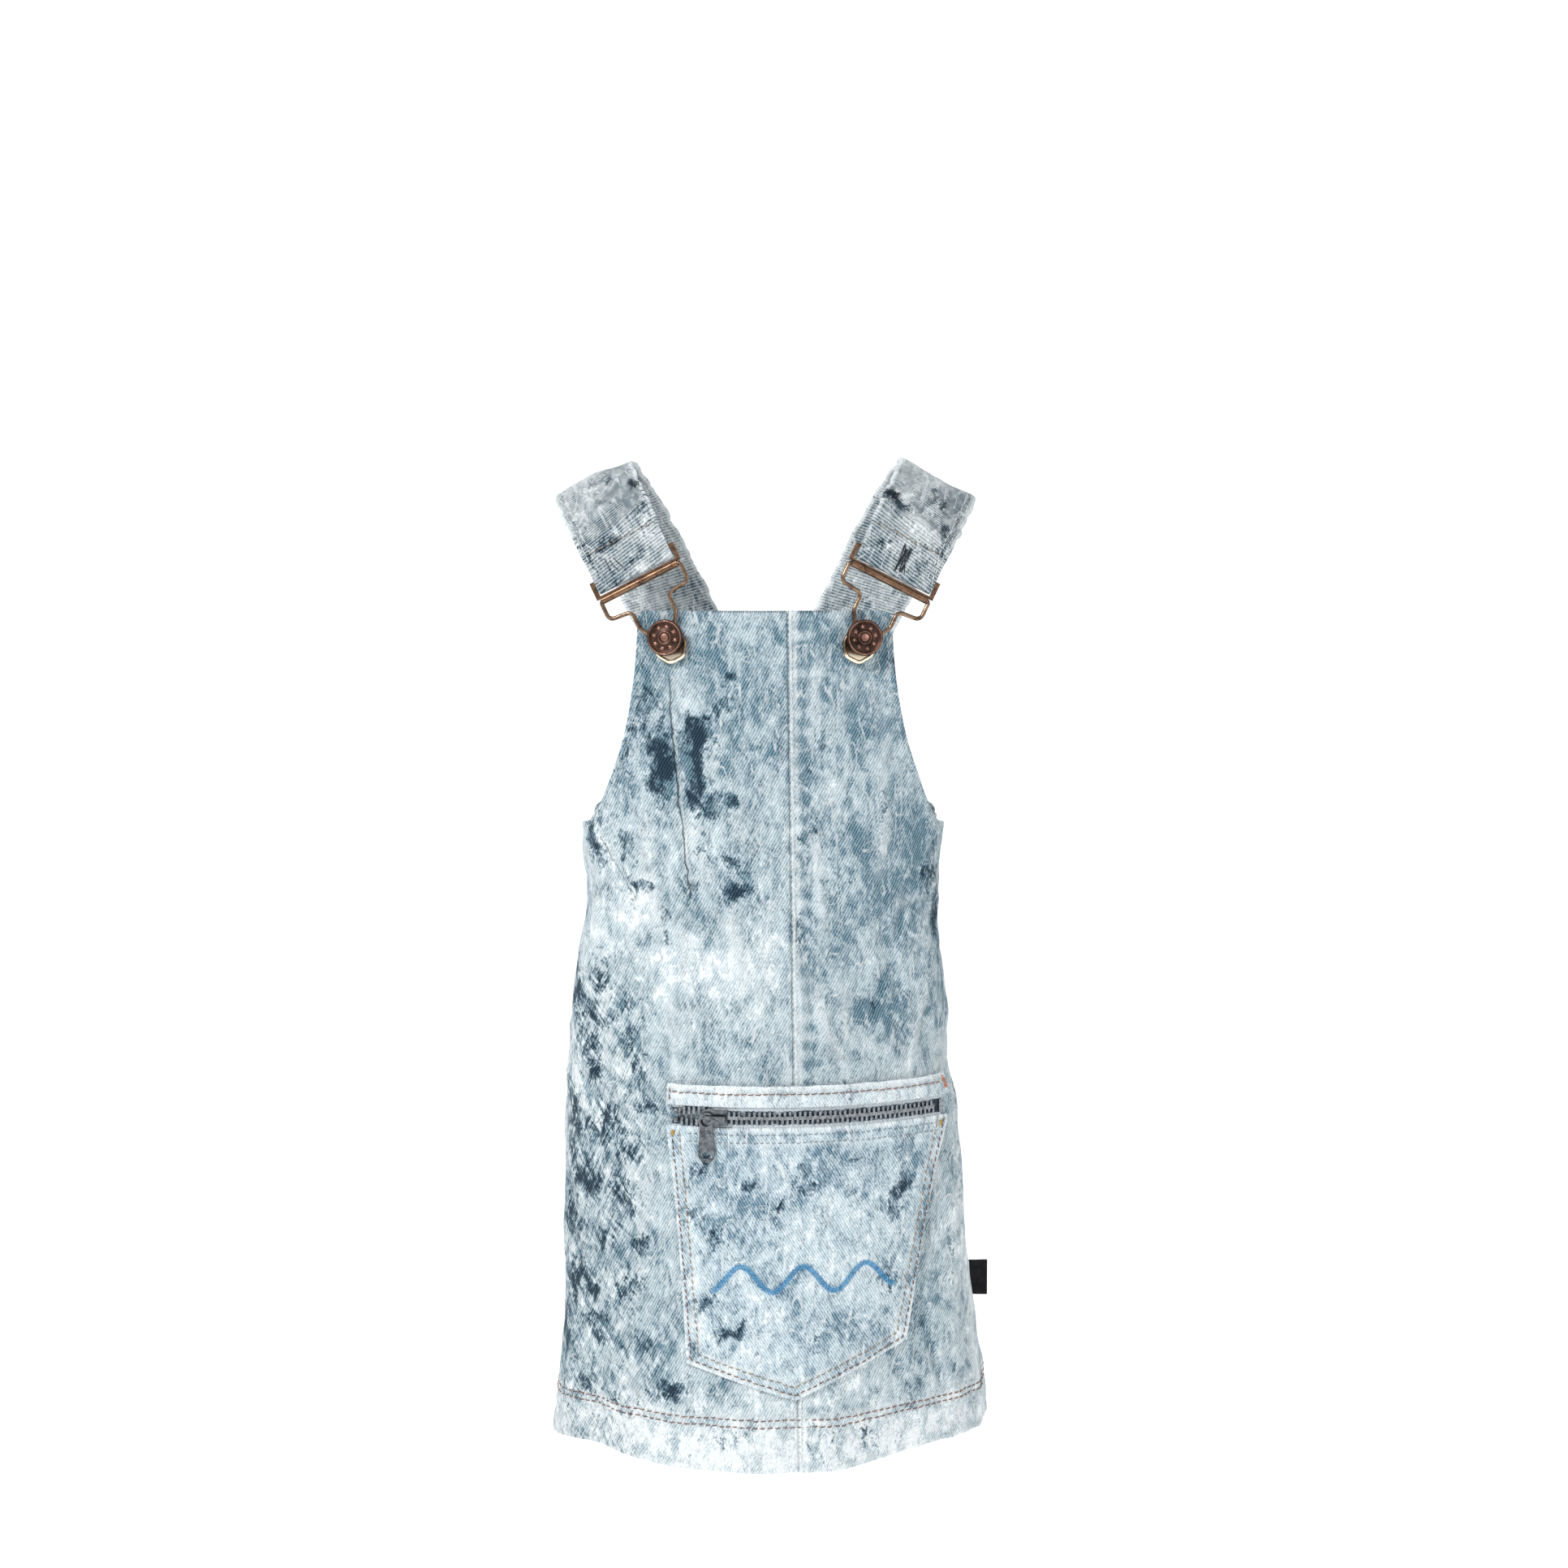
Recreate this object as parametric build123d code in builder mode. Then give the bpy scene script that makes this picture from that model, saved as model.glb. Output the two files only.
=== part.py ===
"""A child's denim pinafore smock: bib front, zip patch pocket, dungaree buckles.

Row frame: +Z up, the front faces -Y, +X is the wearer's left. The origin is the
midpoint between the crests of the two shoulder straps, where the shoulders carry it.
"""

import os
from math import asin, cos, degrees, radians, sin, sqrt, tan

from build123d import *

# ---------------------------------------------------------------- driving dimensions
BIB_TOP = -58.0  # height of the bib's top edge below the shoulder line
HEM = BIB_TOP - 414.0
DENIM = 1.0  # thickness of one layer
GAP = 0.2  # air between two layers that lie on each other
BIB_HALF = 60.0  # half width of the bib's top edge
SEAM_TOP_X, SEAM_HEM_X = 10.5, 16.0  # the front seam is off centre and leans
HEM_FOLD = 27.0  # height of the turned-up hem
LINING_BOTTOM = BIB_TOP - 118.0
FRONT_RADIUS = 145.0  # plan radius of the skirt's front
ARC_SHARE = 0.88  # share of the half width that the front and back arcs span

# height below the bib top, half width, front depth, back depth, arc radius
BODY_SECTIONS = (
    (-8.0, 86.0, 57.2, 52.0, 230.0),
    (30.0, 86.0, 61.0, 54.0, 230.0),
    (75.0, 87.6, 64.6, 54.8, 212.0),
    (104.0, 87.6, 66.0, 55.0, 200.0),
    (135.0, 86.2, 67.3, 55.6, 180.0),
    (165.0, 86.4, 68.7, 57.0, 162.0),
    (205.0, 91.0, 70.0, 60.0, FRONT_RADIUS),
    (262.0, 96.5, 70.0, 63.0, FRONT_RADIUS),
    (340.0, 101.5, 70.0, 66.0, FRONT_RADIUS),
    (414.0, 108.0, 70.0, 70.0, FRONT_RADIUS),
)
SKIRT_FRONT = 70.0  # front depth of the skirt from the pocket down

# buckle, on a plane that lies on the bib with v up the strap
BUTTON_X, BUTTON_DROP = 45.5, 12.5
STRAP_LEAN = 27.0  # degrees from upright, outwards
BIB_SLOPE = (61.0 - 57.2) / 38.0  # how far the bib leans back per millimetre of height
CAP_RADIUS, CAP_BOTTOM, CAP_TOP = 8.5, 4.8, 7.6
NECK_RADIUS = 2.75
WIRE_RADIUS, WIRE_LEVEL = 1.0, 2.6
BAR_V = 29.3
BAR_RADIUS, BAR_BORE, BAR_HALF = 1.75, 1.08, 22.4
SLOT_HALF, SLOT_LOW, SLOT_HIGH, FRAME_HIGH = 20.4, 31.6, 36.9, 39.1
STRAP_WIDTH = 40.0
LOOP_TOP = 52.0  # where the folded strap end is sewn down
STRAP_THICK = 2.4

# zip, on an arc about a vertical axis
ZIP_Z = BIB_TOP - 239.0
PANEL_R = FRONT_RADIUS
TAPE_R, TAPE_THICK = 147.25, 0.6  # middle of the tape
SHEET_OFFSET = 2.7  # inner face of the pocket sheet above the panel
ZIP_LEFT, ZIP_RIGHT = -41.0, 88.0  # arc lengths of the first and last tooth
TOOTH_PITCH, TOOTH_WIDE, TOOTH_DEEP = 2.4, 1.15, 2.2
SLIDER_S = -23.5
SLIDER_LONG = 12.0
OPENING_HALF = 5.6  # half height of the window that shows the zip

POCKET_TOP_LEFT, POCKET_TOP_RIGHT = -46.0, 88.0
LABEL_Z, LABEL_OUT = BIB_TOP - 339.0, 111.5

os.makedirs("parts", exist_ok=True)


def save(part, name):
    """Label a finished piece and write it as a STEP file of that name."""
    part.label = name
    export_step(part, f"parts/{name}.step")


def save_pair(part, name):
    """Write the wearer's-left piece, and its mirror image as the right one."""
    save(part, f"{name}_left")
    save(mirror(part, about=Plane.YZ), f"{name}_right")


# ---------------------------------------------------------------- body of the garment
def torso(offset):
    """The worn body as a solid, grown outwards by offset."""
    with BuildPart() as body:
        for drop, half, front, back, radius in BODY_SECTIONS:
            a, f, b, r = half + offset, front + offset, back + offset, radius + offset
            x_end = ARC_SHARE * half * r / radius
            sag = r - sqrt(r * r - x_end * x_end)
            lean = asin(x_end / r)
            with BuildSketch(Plane.XY.offset(BIB_TOP - drop)):
                with BuildLine():
                    ThreePointArc((-x_end, sag - f), (0, -f), (x_end, sag - f))
                    Spline(
                        (x_end, sag - f),
                        (a, 0),
                        (x_end, b - sag),
                        tangents=((cos(lean), sin(lean)), (-cos(lean), sin(lean))),
                    )
                    ThreePointArc((x_end, b - sag), (0, b), (-x_end, b - sag))
                    Spline(
                        (-x_end, b - sag),
                        (-a, 0),
                        (-x_end, sag - f),
                        tangents=((-cos(lean), -sin(lean)), (cos(lean), -sin(lean))),
                    )
                make_face()
        loft(ruled=True)
    return body.part


def layer(inner, outer):
    """A cloth layer that wraps the whole body between two offsets."""
    with BuildPart() as cloth:
        add(torso(outer))
        add(torso(inner), mode=Mode.SUBTRACT)
    return cloth.part


def half_prism(points, corner, amount):
    """A symmetric outline in XZ, swept along Y: amount is positive to the front."""
    top = points[0][1]
    with BuildPart() as prism:
        with BuildSketch(Plane.XZ):
            with BuildLine():
                Line((0, top), points[0])
                Line(points[0], points[1])
                Spline(*points[1:])
                Line(points[-1], (130, points[-1][1]))
                Line((130, points[-1][1]), (130, corner))
                Line((130, corner), (0, corner))
                mirror(about=Plane.YZ)
            make_face()
        extrude(amount=amount)
    return prism.part


def below_bib(*drops):
    """Points given as x and drop below the bib's top edge."""
    return [(x, BIB_TOP - drop) for x, drop in drops]


FRONT_EDGE = below_bib(
    (56.5, 0), (60, 4), (61.4, 26), (66.2, 55.4), (76.5, 85.5), (87.2, 104), (92, 109)
)
BACK_EDGE = below_bib(
    (45, 45), (48.5, 48), (52, 62), (62, 83), (76, 98), (87.2, 104), (92, 105)
)

panel_layer = layer(-DENIM, 0)
hem_layer = layer(-2 * DENIM, -DENIM)
lining_layer = layer(-2 * DENIM - GAP, -DENIM - GAP)
front_prism = half_prism(FRONT_EDGE, HEM - 5, 200)
back_prism = half_prism(BACK_EDGE, HEM - 5, -200)
seam_lean = (SEAM_HEM_X - SEAM_TOP_X) / (HEM - BIB_TOP)
seam_plane = Plane(
    origin=(SEAM_TOP_X, 0, BIB_TOP), x_dir=(0, 1, 0), z_dir=(1, 0, -seam_lean)
)

# the buckle's own plane, on the outside of the bib
yaw_slope = BUTTON_X / sqrt(BODY_SECTIONS[0][4] ** 2 - BUTTON_X**2)
button_sag = BODY_SECTIONS[0][4] - sqrt(BODY_SECTIONS[0][4] ** 2 - BUTTON_X**2)
button_front = BODY_SECTIONS[0][2] + BIB_SLOPE * (BUTTON_DROP - BODY_SECTIONS[0][0])
BUTTON = Vector(BUTTON_X, button_sag - button_front, BIB_TOP - BUTTON_DROP)
outward = Vector(yaw_slope, -1, BIB_SLOPE).normalized()
across = Vector(1, yaw_slope, 0).normalized()
upward = outward.cross(across)
bar_dir = across * cos(radians(STRAP_LEAN)) - upward * sin(radians(STRAP_LEAN))
strap_dir = outward.cross(bar_dir)
buckle = Plane(origin=BUTTON, x_dir=bar_dir, z_dir=outward)
buckle_side = Plane(origin=BUTTON, x_dir=bar_dir, z_dir=strap_dir * -1)
button_axis = Axis(BUTTON, outward)


def at(u, v, w):
    """A point of the buckle's plane in the row frame."""
    return BUTTON + bar_dir * u + strap_dir * v + outward * w


TACK_HOLE = 1.25


def tack_holes():
    """Drills for the two button tacks, through bib and lining."""
    with BuildPart() as drill:
        with BuildSketch(buckle.offset(-8)):
            Circle(TACK_HOLE)
        extrude(amount=16)
        mirror(about=Plane.YZ)
    return drill.part


def trimmed(cloth, prism, low, high):
    """A cloth layer cut to an outline and between two heights."""
    with BuildPart() as piece:
        add(cloth)
        add(prism, mode=Mode.INTERSECT)
        with BuildSketch(Plane.XY.offset(low)):
            Rectangle(400, 400)
        extrude(amount=high - low, mode=Mode.INTERSECT)
    return piece.part


def half_of(part, plane, keep):
    """One side of a part cut by a plane."""
    with BuildPart() as piece:
        add(part)
        split(bisect_by=plane, keep=keep)
    return piece.part


def make_body():
    """Front and back panels with their turned-up hems, and the linings."""
    with BuildPart() as front:
        add(trimmed(panel_layer, front_prism, HEM, BIB_TOP + 2))
        add(trimmed(hem_layer, front_prism, HEM, HEM + HEM_FOLD))
        add(tack_holes(), mode=Mode.SUBTRACT)
    save(half_of(front.part, seam_plane, Keep.TOP), "front_panel_left")
    save(half_of(front.part, seam_plane, Keep.BOTTOM), "front_panel_right")
    with BuildPart() as back:
        add(trimmed(panel_layer, back_prism, HEM, BIB_TOP + 2))
        add(trimmed(hem_layer, back_prism, HEM, HEM + HEM_FOLD))
    save(half_of(back.part, Plane.YZ, Keep.TOP), "back_panel_left")
    save(half_of(back.part, Plane.YZ, Keep.BOTTOM), "back_panel_right")
    with BuildPart() as bib_lining:
        add(trimmed(lining_layer, front_prism, LINING_BOTTOM, BIB_TOP + 2))
        add(tack_holes(), mode=Mode.SUBTRACT)
    save(bib_lining.part, "bib_lining")
    save(trimmed(lining_layer, back_prism, LINING_BOTTOM, BIB_TOP + 2), "back_lining")


# ---------------------------------------------------------------- zip
axis_y = FRONT_RADIUS - SKIRT_FRONT
zip_axis = Axis((0, axis_y, 0), (0, 0, 1))


def zip_plane(s, radius, height=0.0):
    """A plane on the zip's arc: x along the arc, y up, z out of the garment."""
    a = s / TAPE_R
    origin = (radius * sin(a), axis_y - radius * cos(a), ZIP_Z + height)
    return Plane(origin=origin, x_dir=(cos(a), sin(a), 0), z_dir=(sin(a), -cos(a), 0))


def arc_band(s0, s1, low, high, r0, r1):
    """A band about the zip's axis between two arc lengths, heights and radii."""
    start = s0 / TAPE_R
    with BuildPart() as band:
        side = Plane(
            origin=(0, axis_y, ZIP_Z),
            x_dir=(sin(start), -cos(start), 0),
            z_dir=(-cos(start), -sin(start), 0),
        )
        with BuildSketch(side):
            with Locations(((r0 + r1) / 2, (low + high) / 2)):
                Rectangle(r1 - r0, high - low)
        revolve(axis=zip_axis, revolution_arc=degrees((s1 - s0) / TAPE_R))
    return band.part


def row_offset(s, side):
    """How far a row's middle stands from the closed line, opened left of the slider."""
    opened = SLIDER_S - 1.0 - s
    if opened <= 0:
        return 0.0
    run = SLIDER_S - 1.0 - ZIP_LEFT
    near = min(1.0, opened / 3.5)
    fade = max(0.0, 1 - (opened / run) ** 3)
    return side * 2.3 * near * (0.45 + 0.55 * fade)


TOOTH_HEAD, TOOTH_ROOT, TAPE_EDGE = -0.85, 3.1, 1.4
TAPE_IN, TAPE_OUT = TAPE_R - TAPE_THICK / 2, TAPE_R + TAPE_THICK / 2
TAPE_WIDE = 12.0


def make_tape(side, slack):
    """A tape whose inner edge follows its row of teeth; slack thickens it for a cut."""
    low_s, high_s = ZIP_LEFT - 3.5, ZIP_RIGHT + 2.5
    stops = [low_s + i * (SLIDER_S - low_s) / 14 for i in range(15)] + [high_s]
    edge = [
        (TAPE_R * sin(s / TAPE_R), ZIP_Z + side * TAPE_EDGE + row_offset(s, side))
        for s in stops
    ]
    outside = ZIP_Z + side * TAPE_WIDE
    with BuildPart() as tape:
        with BuildSketch(Plane.XZ):
            with BuildLine():
                Polyline(*edge, (edge[-1][0], outside), (edge[0][0], outside), close=True)
            make_face()
        extrude(amount=200)
        ring = arc_band(low_s, high_s, -15, 15, TAPE_IN - slack, TAPE_OUT + slack)
        add(ring, mode=Mode.INTERSECT)
    return tape.part


def make_teeth(side, name):
    """One row of teeth, each a rounded block whose legs clamp the tape's edge."""
    count = int((ZIP_RIGHT - ZIP_LEFT) / TOOTH_PITCH)
    shift = 0.0 if side > 0 else TOOTH_PITCH / 2
    teeth = []
    for i in range(count):
        s = ZIP_LEFT + shift + i * TOOTH_PITCH
        rise = row_offset(s, side) + side * (TOOTH_HEAD + TOOTH_ROOT) / 2
        with BuildPart() as tooth:
            with BuildSketch(zip_plane(s, TAPE_R - TOOTH_DEEP / 2, rise)):
                RectangleRounded(TOOTH_WIDE, TOOTH_ROOT - TOOTH_HEAD, 0.45)
            extrude(amount=TOOTH_DEEP)
            with BuildSketch(
                zip_plane(s, TAPE_IN - 0.03, rise + side * TAPE_EDGE)
            ):
                Rectangle(3, TOOTH_ROOT - TOOTH_HEAD)
            extrude(amount=TAPE_THICK + 0.06, mode=Mode.SUBTRACT)
        teeth.append(tooth.part.solid())
    save(Compound(children=teeth), name)


SLIDER_HALF_WIDE, SLIDER_HALF_NARROW = 4.6, 3.7
CHANNEL_HALF, CHANNEL_DEEP = 3.45, 2.4
PLATE = 0.85


def slider_outline():
    """The slider's plan: broad rounded shoulders to the left, narrow to the right."""
    half = SLIDER_LONG / 2
    with BuildSketch() as outline:
        with BuildLine():
            Line((half, 0), (half, SLIDER_HALF_NARROW))
            Line((half, SLIDER_HALF_NARROW), (0.3, SLIDER_HALF_NARROW))
            Spline(
                (0.3, SLIDER_HALF_NARROW),
                (-2.6, SLIDER_HALF_WIDE),
                (-5.2, 3.3),
                (-half, 0.7),
                tangents=((-1, 0), (-0.25, -1)),
            )
            Line((-half, 0.7), (-half, 0))
            mirror(about=Plane.XZ)
        make_face()
    return outline.sketch


def make_slider():
    """Two plates with lips over the chain, the wedge between the rows, and the bridge."""
    low = TAPE_R - CHANNEL_DEEP / 2 - PLATE
    with BuildPart() as slider:
        with BuildSketch(zip_plane(SLIDER_S, low)):
            add(slider_outline())
        extrude(amount=2 * PLATE + CHANNEL_DEEP)
        channel = arc_band(
            SLIDER_S - 8,
            SLIDER_S + 8,
            -CHANNEL_HALF,
            CHANNEL_HALF,
            TAPE_R - CHANNEL_DEEP / 2,
            TAPE_R + CHANNEL_DEEP / 2,
        )
        add(channel, mode=Mode.SUBTRACT)
        mouth = arc_band(
            SLIDER_S - 9, SLIDER_S - 1, -9, 9, TAPE_R - 1.15, TAPE_R + 1.15
        )
        add(mouth, mode=Mode.SUBTRACT)
        slot = arc_band(SLIDER_S - 9, SLIDER_S + 9, -9, 9, TAPE_R - 0.5, TAPE_R + 0.5)
        add(slot, mode=Mode.SUBTRACT)
        with BuildSketch(zip_plane(SLIDER_S, low + PLATE / 2)):
            with BuildLine():
                Polyline(
                    (-5.8, 0.6), (-4.9, 0.7), (-4.1, 0), (-4.9, -0.7), (-5.8, -0.6),
                    close=True,
                )
            make_face()
        extrude(amount=PLATE + CHANNEL_DEEP)
        top = low + 2 * PLATE + CHANNEL_DEEP
        with BuildSketch(Plane(zip_plane(SLIDER_S, top).location)):
            with Locations((-3.9, 0), (4.6, 0)):
                RectangleRounded(1.6, 2.4, 0.5)
        extrude(amount=1.9)
        with BuildSketch(zip_plane(SLIDER_S, top + 1.6)):
            with Locations((0.35, 0)):
                RectangleRounded(10.1, 2.7, 0.6)
        extrude(amount=1.1)
    save(slider.part, "zip_slider")


PULL_LEVEL, PULL_THICK = 149.65, 0.9
RING_S, RING_IN, RING_OUT = SLIDER_S - 3.9, 2.75, 4.05
PULL_LONG = 21.5


def make_pull():
    """The pull: a ring round the bridge's left post, a plate, and a D-shaped eye."""
    with BuildPart() as pull:
        with BuildSketch(zip_plane(RING_S, PULL_LEVEL)):
            with Locations((0, -1.2)):
                Circle(RING_OUT)
            with BuildLine():
                Polyline(
                    (-3.1, -3.6), (3.1, -3.6), (4.0, -18.0), (-4.0, -18.0), close=True
                )
            make_face()
            with Locations((0, -18.0)):
                Ellipse(4.0, PULL_LONG - 18.0)
            with Locations((0, -1.2)):
                Circle(RING_IN, mode=Mode.SUBTRACT)
            with Locations((0, -18.1)):
                SlotOverall(5.8, 3.0, mode=Mode.SUBTRACT)
        extrude(amount=PULL_THICK)
    save(pull.part, "zip_pull")


def make_stop(s0, s1, sides, name):
    """Metal stops pressed over the tape edges."""
    clamps = []
    for side in sides:
        low, high = sorted((side * (1.0 if len(sides) > 1 else -3.3), side * 3.3))
        with BuildPart() as clamp:
            add(arc_band(s0, s1, low, high, TAPE_R - 1.2, TAPE_R + 1.2))
            for tape_side in (-1, 1):
                add(make_tape(tape_side, 0.03), mode=Mode.SUBTRACT)
        clamps.append(clamp.part.solid())
    save(Compound(children=clamps), name)


def make_zip():
    """Tapes, teeth, stops, slider and pull."""
    save(make_tape(1, 0), "zip_tape_upper")
    save(make_tape(-1, 0), "zip_tape_lower")
    make_teeth(1, "zip_teeth_upper")
    make_teeth(-1, "zip_teeth_lower")
    make_stop(ZIP_RIGHT + 0.4, ZIP_RIGHT + 2.4, (1,), "zip_bottom_stop")
    make_stop(ZIP_LEFT - 2.6, ZIP_LEFT - 0.9, (1, -1), "zip_top_stops")
    make_slider()
    make_pull()


# ---------------------------------------------------------------- pocket
POCKET_TOP = ZIP_Z + 15.0
POCKET_OUTLINE = (
    (POCKET_TOP_LEFT, POCKET_TOP),
    (POCKET_TOP_RIGHT, POCKET_TOP),
    (POCKET_TOP_RIGHT - 1.5, ZIP_Z - 8),
    (67.5, BIB_TOP - 353),
    (14.5, BIB_TOP - 378),
    (-37.0, BIB_TOP - 361),
)
POCKET_RIM = 7.0


def pocket_prism(inset):
    """The pocket's five-sided outline, drawn in by inset, swept to the front."""
    with BuildPart() as prism:
        with BuildSketch(Plane.XZ):
            with BuildLine():
                Polyline(*POCKET_OUTLINE, close=True)
            make_face()
            if inset:
                offset(amount=-inset, mode=Mode.REPLACE)
        extrude(amount=200)
    return prism.part


def between(low, high):
    """A slab of all widths between two heights."""
    with BuildPart() as slab:
        with BuildSketch(Plane.XY.offset(low)):
            Rectangle(400, 400)
        extrude(amount=high - low)
    return slab.part


def make_pocket():
    """The patch and the strip above the zip: a sheet with folded edges under it."""
    sheet = layer(SHEET_OFFSET, SHEET_OFFSET + DENIM)
    rim = layer(GAP, SHEET_OFFSET)
    whole, inner = pocket_prism(0), pocket_prism(POCKET_RIM)
    tape_room = between(ZIP_Z - 12.3, ZIP_Z + 12.3)
    for name, low, high in (
        ("pocket_patch", BIB_TOP - 400, ZIP_Z - OPENING_HALF),
        ("pocket_top_strip", ZIP_Z + OPENING_HALF, ZIP_Z + 20),
    ):
        with BuildPart() as folded_edge:
            add(rim)
            add(whole, mode=Mode.INTERSECT)
            add(inner, mode=Mode.SUBTRACT)
            add(tape_room, mode=Mode.SUBTRACT)
        with BuildPart() as piece:
            add(sheet)
            add(whole, mode=Mode.INTERSECT)
            add(folded_edge.part)
            add(between(low, high), mode=Mode.INTERSECT)
        save(piece.part, name)


WAVE_Z = BIB_TOP - 318.0
WAVE_LEFT, WAVE_RIGHT, WAVE_RISE, WAVE_BAND, WAVE_BEND = -26.0, 62.0, 7.0, 2.6, 4.5


def make_embroidery():
    """A plain wavy line of chain stitch across the patch."""
    crests = 6
    step = (WAVE_RIGHT - WAVE_LEFT) / crests
    points = [
        (WAVE_LEFT + i * step, WAVE_Z + (WAVE_RISE if i % 2 else -WAVE_RISE))
        for i in range(crests + 1)
    ]
    with BuildPart() as wave:
        with BuildSketch(Plane.XZ):
            with BuildLine():
                FilletPolyline(*points, radius=WAVE_BEND)
            trace(line_width=WAVE_BAND)
        extrude(amount=200)
        raised = layer(SHEET_OFFSET + DENIM, SHEET_OFFSET + DENIM + 0.7)
        add(raised, mode=Mode.INTERSECT)
    save(wave.part, "pocket_embroidery")


def make_label():
    """A blank folded ribbon caught in the wearer's-left side seam."""
    with BuildPart() as label:
        with BuildSketch(Plane.XY.offset(LABEL_Z - 9)):
            with Locations((LABEL_OUT - 8, 0)):
                Rectangle(16.0, 1.2)
        extrude(amount=18)
        add(torso(0.1), mode=Mode.SUBTRACT)
    save(label.part, "side_label")


# ---------------------------------------------------------------- buttons and buckles
def make_button():
    """A tack button: swivelling cap on a fixed shank, with the tack behind the bib."""
    head_low, head_high = 5.5, 6.2
    with BuildPart() as shank:
        with BuildSketch(buckle_side):
            with BuildLine():
                Polyline(
                    (1.2, 0.12), (4.4, 0.12), (4.4, 0.7), (NECK_RADIUS, 1.2),
                    (NECK_RADIUS, CAP_BOTTOM - 0.15), (1.9, CAP_BOTTOM),
                    (1.9, head_low), (2.8, head_low), (2.8, head_high),
                    (0, head_high), (0, 4.0), (1.2, 4.0),
                    close=True,
                )
            make_face()
        revolve(axis=button_axis)
    save_pair(shank.part, "button_shank")
    with BuildPart() as tack:
        with BuildSketch(buckle_side):
            with BuildLine():
                Polyline(
                    (0, -3.5), (4.6, -3.5), (4.8, -2.9), (4.6, -2.35), (1.1, -2.35),
                    (1.1, 3.2), (0, 3.9),
                    close=True,
                )
            make_face()
        revolve(axis=button_axis)
    save_pair(tack.part, "button_tack")
    with BuildPart() as cap:
        with BuildSketch(buckle_side):
            with BuildLine():
                Polyline(
                    (1.97, CAP_BOTTOM + 0.1), (7.9, CAP_BOTTOM + 0.1),
                    (CAP_RADIUS, CAP_BOTTOM + 0.7), (CAP_RADIUS, CAP_TOP - 0.7),
                    (8.1, CAP_TOP), (7.2, CAP_TOP), (6.9, CAP_TOP - 0.5),
                    (3.5, CAP_TOP - 0.5), (3.2, CAP_TOP - 0.1), (2.3, CAP_TOP - 0.1),
                    (2.0, CAP_TOP - 0.5), (0, CAP_TOP - 0.4),
                    (0, head_high + 0.1), (2.9, head_high + 0.1),
                    (2.9, head_low - 0.08), (1.97, head_low - 0.08),
                    close=True,
                )
            make_face()
        revolve(axis=button_axis)
        with BuildSketch(buckle.offset(CAP_TOP - 0.52)):
            with PolarLocations(5.2, 8):
                RegularPolygon(0.95, 5)
        extrude(amount=0.32)
    save_pair(cap.part, "button_cap")


WIRE_HALF = (
    (13.0, BAR_V), (21.2, BAR_V), (21.2, 19.6), (9.7, 18.4), (9.7, 10.0),
    (6.5, 4.4), (7.2, -5.6), (3.4, -11.3),
)
WIRE_BENDS = (1.6, 3.0, 3.0, 3.0, 2.8, 4.5, 3.0)


def make_hook():
    """The bent wire: pins in the bar, shoulders, throat, and a flattened lower loop."""
    points = WIRE_HALF + tuple((-u, v) for u, v in reversed(WIRE_HALF))
    bends = list(WIRE_BENDS) + list(reversed(WIRE_BENDS))
    level = buckle.offset(WIRE_LEVEL)
    with BuildPart() as hook:
        with BuildLine(level):
            path = FilletPolyline(*points, radius=bends)
        start = Plane(origin=path @ 0, z_dir=path % 0)
        with BuildSketch(start):
            Circle(WIRE_RADIUS)
        sweep(path=path)
        with BuildSketch(buckle.offset(WIRE_LEVEL - 0.5)):
            with Locations((0, -4.4)):
                Ellipse(7.4, 7.3)
            Circle(NECK_RADIUS + 0.35, mode=Mode.SUBTRACT)
            with Locations((0, 4.0)):
                Rectangle(2 * NECK_RADIUS + 0.7, 8.0, mode=Mode.SUBTRACT)
        extrude(amount=1.0)
    save_pair(hook.part, "hook_wire")


def make_frame():
    """The strap slide: a plate with one slot over a rolled bar that holds the wire."""
    with BuildPart() as plate:
        with BuildSketch(buckle.offset(1.8)):
            with Locations((0, (BAR_V + FRAME_HIGH) / 2)):
                Rectangle(2 * BAR_HALF, FRAME_HIGH - BAR_V)
            with Locations((0, (SLOT_LOW + SLOT_HIGH) / 2)):
                Rectangle(2 * SLOT_HALF, SLOT_HIGH - SLOT_LOW, mode=Mode.SUBTRACT)
        extrude(amount=1.6)
        bar_end = Plane(
            origin=at(-BAR_HALF, BAR_V, WIRE_LEVEL), x_dir=strap_dir, z_dir=bar_dir
        )
        with BuildSketch(bar_end):
            Circle(BAR_RADIUS)
        extrude(amount=2 * BAR_HALF)
        with BuildSketch(bar_end):
            Circle(BAR_BORE)
        extrude(amount=2 * BAR_HALF, mode=Mode.SUBTRACT)
        with BuildSketch(buckle.offset(WIRE_LEVEL - 3)):
            with Locations((21.4, BAR_V - 2), (-21.4, BAR_V - 2)):
                Rectangle(2.8, 4 + 2 * BAR_BORE)
        extrude(amount=6, mode=Mode.SUBTRACT)
    save_pair(plate.part, "buckle_frame")


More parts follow.
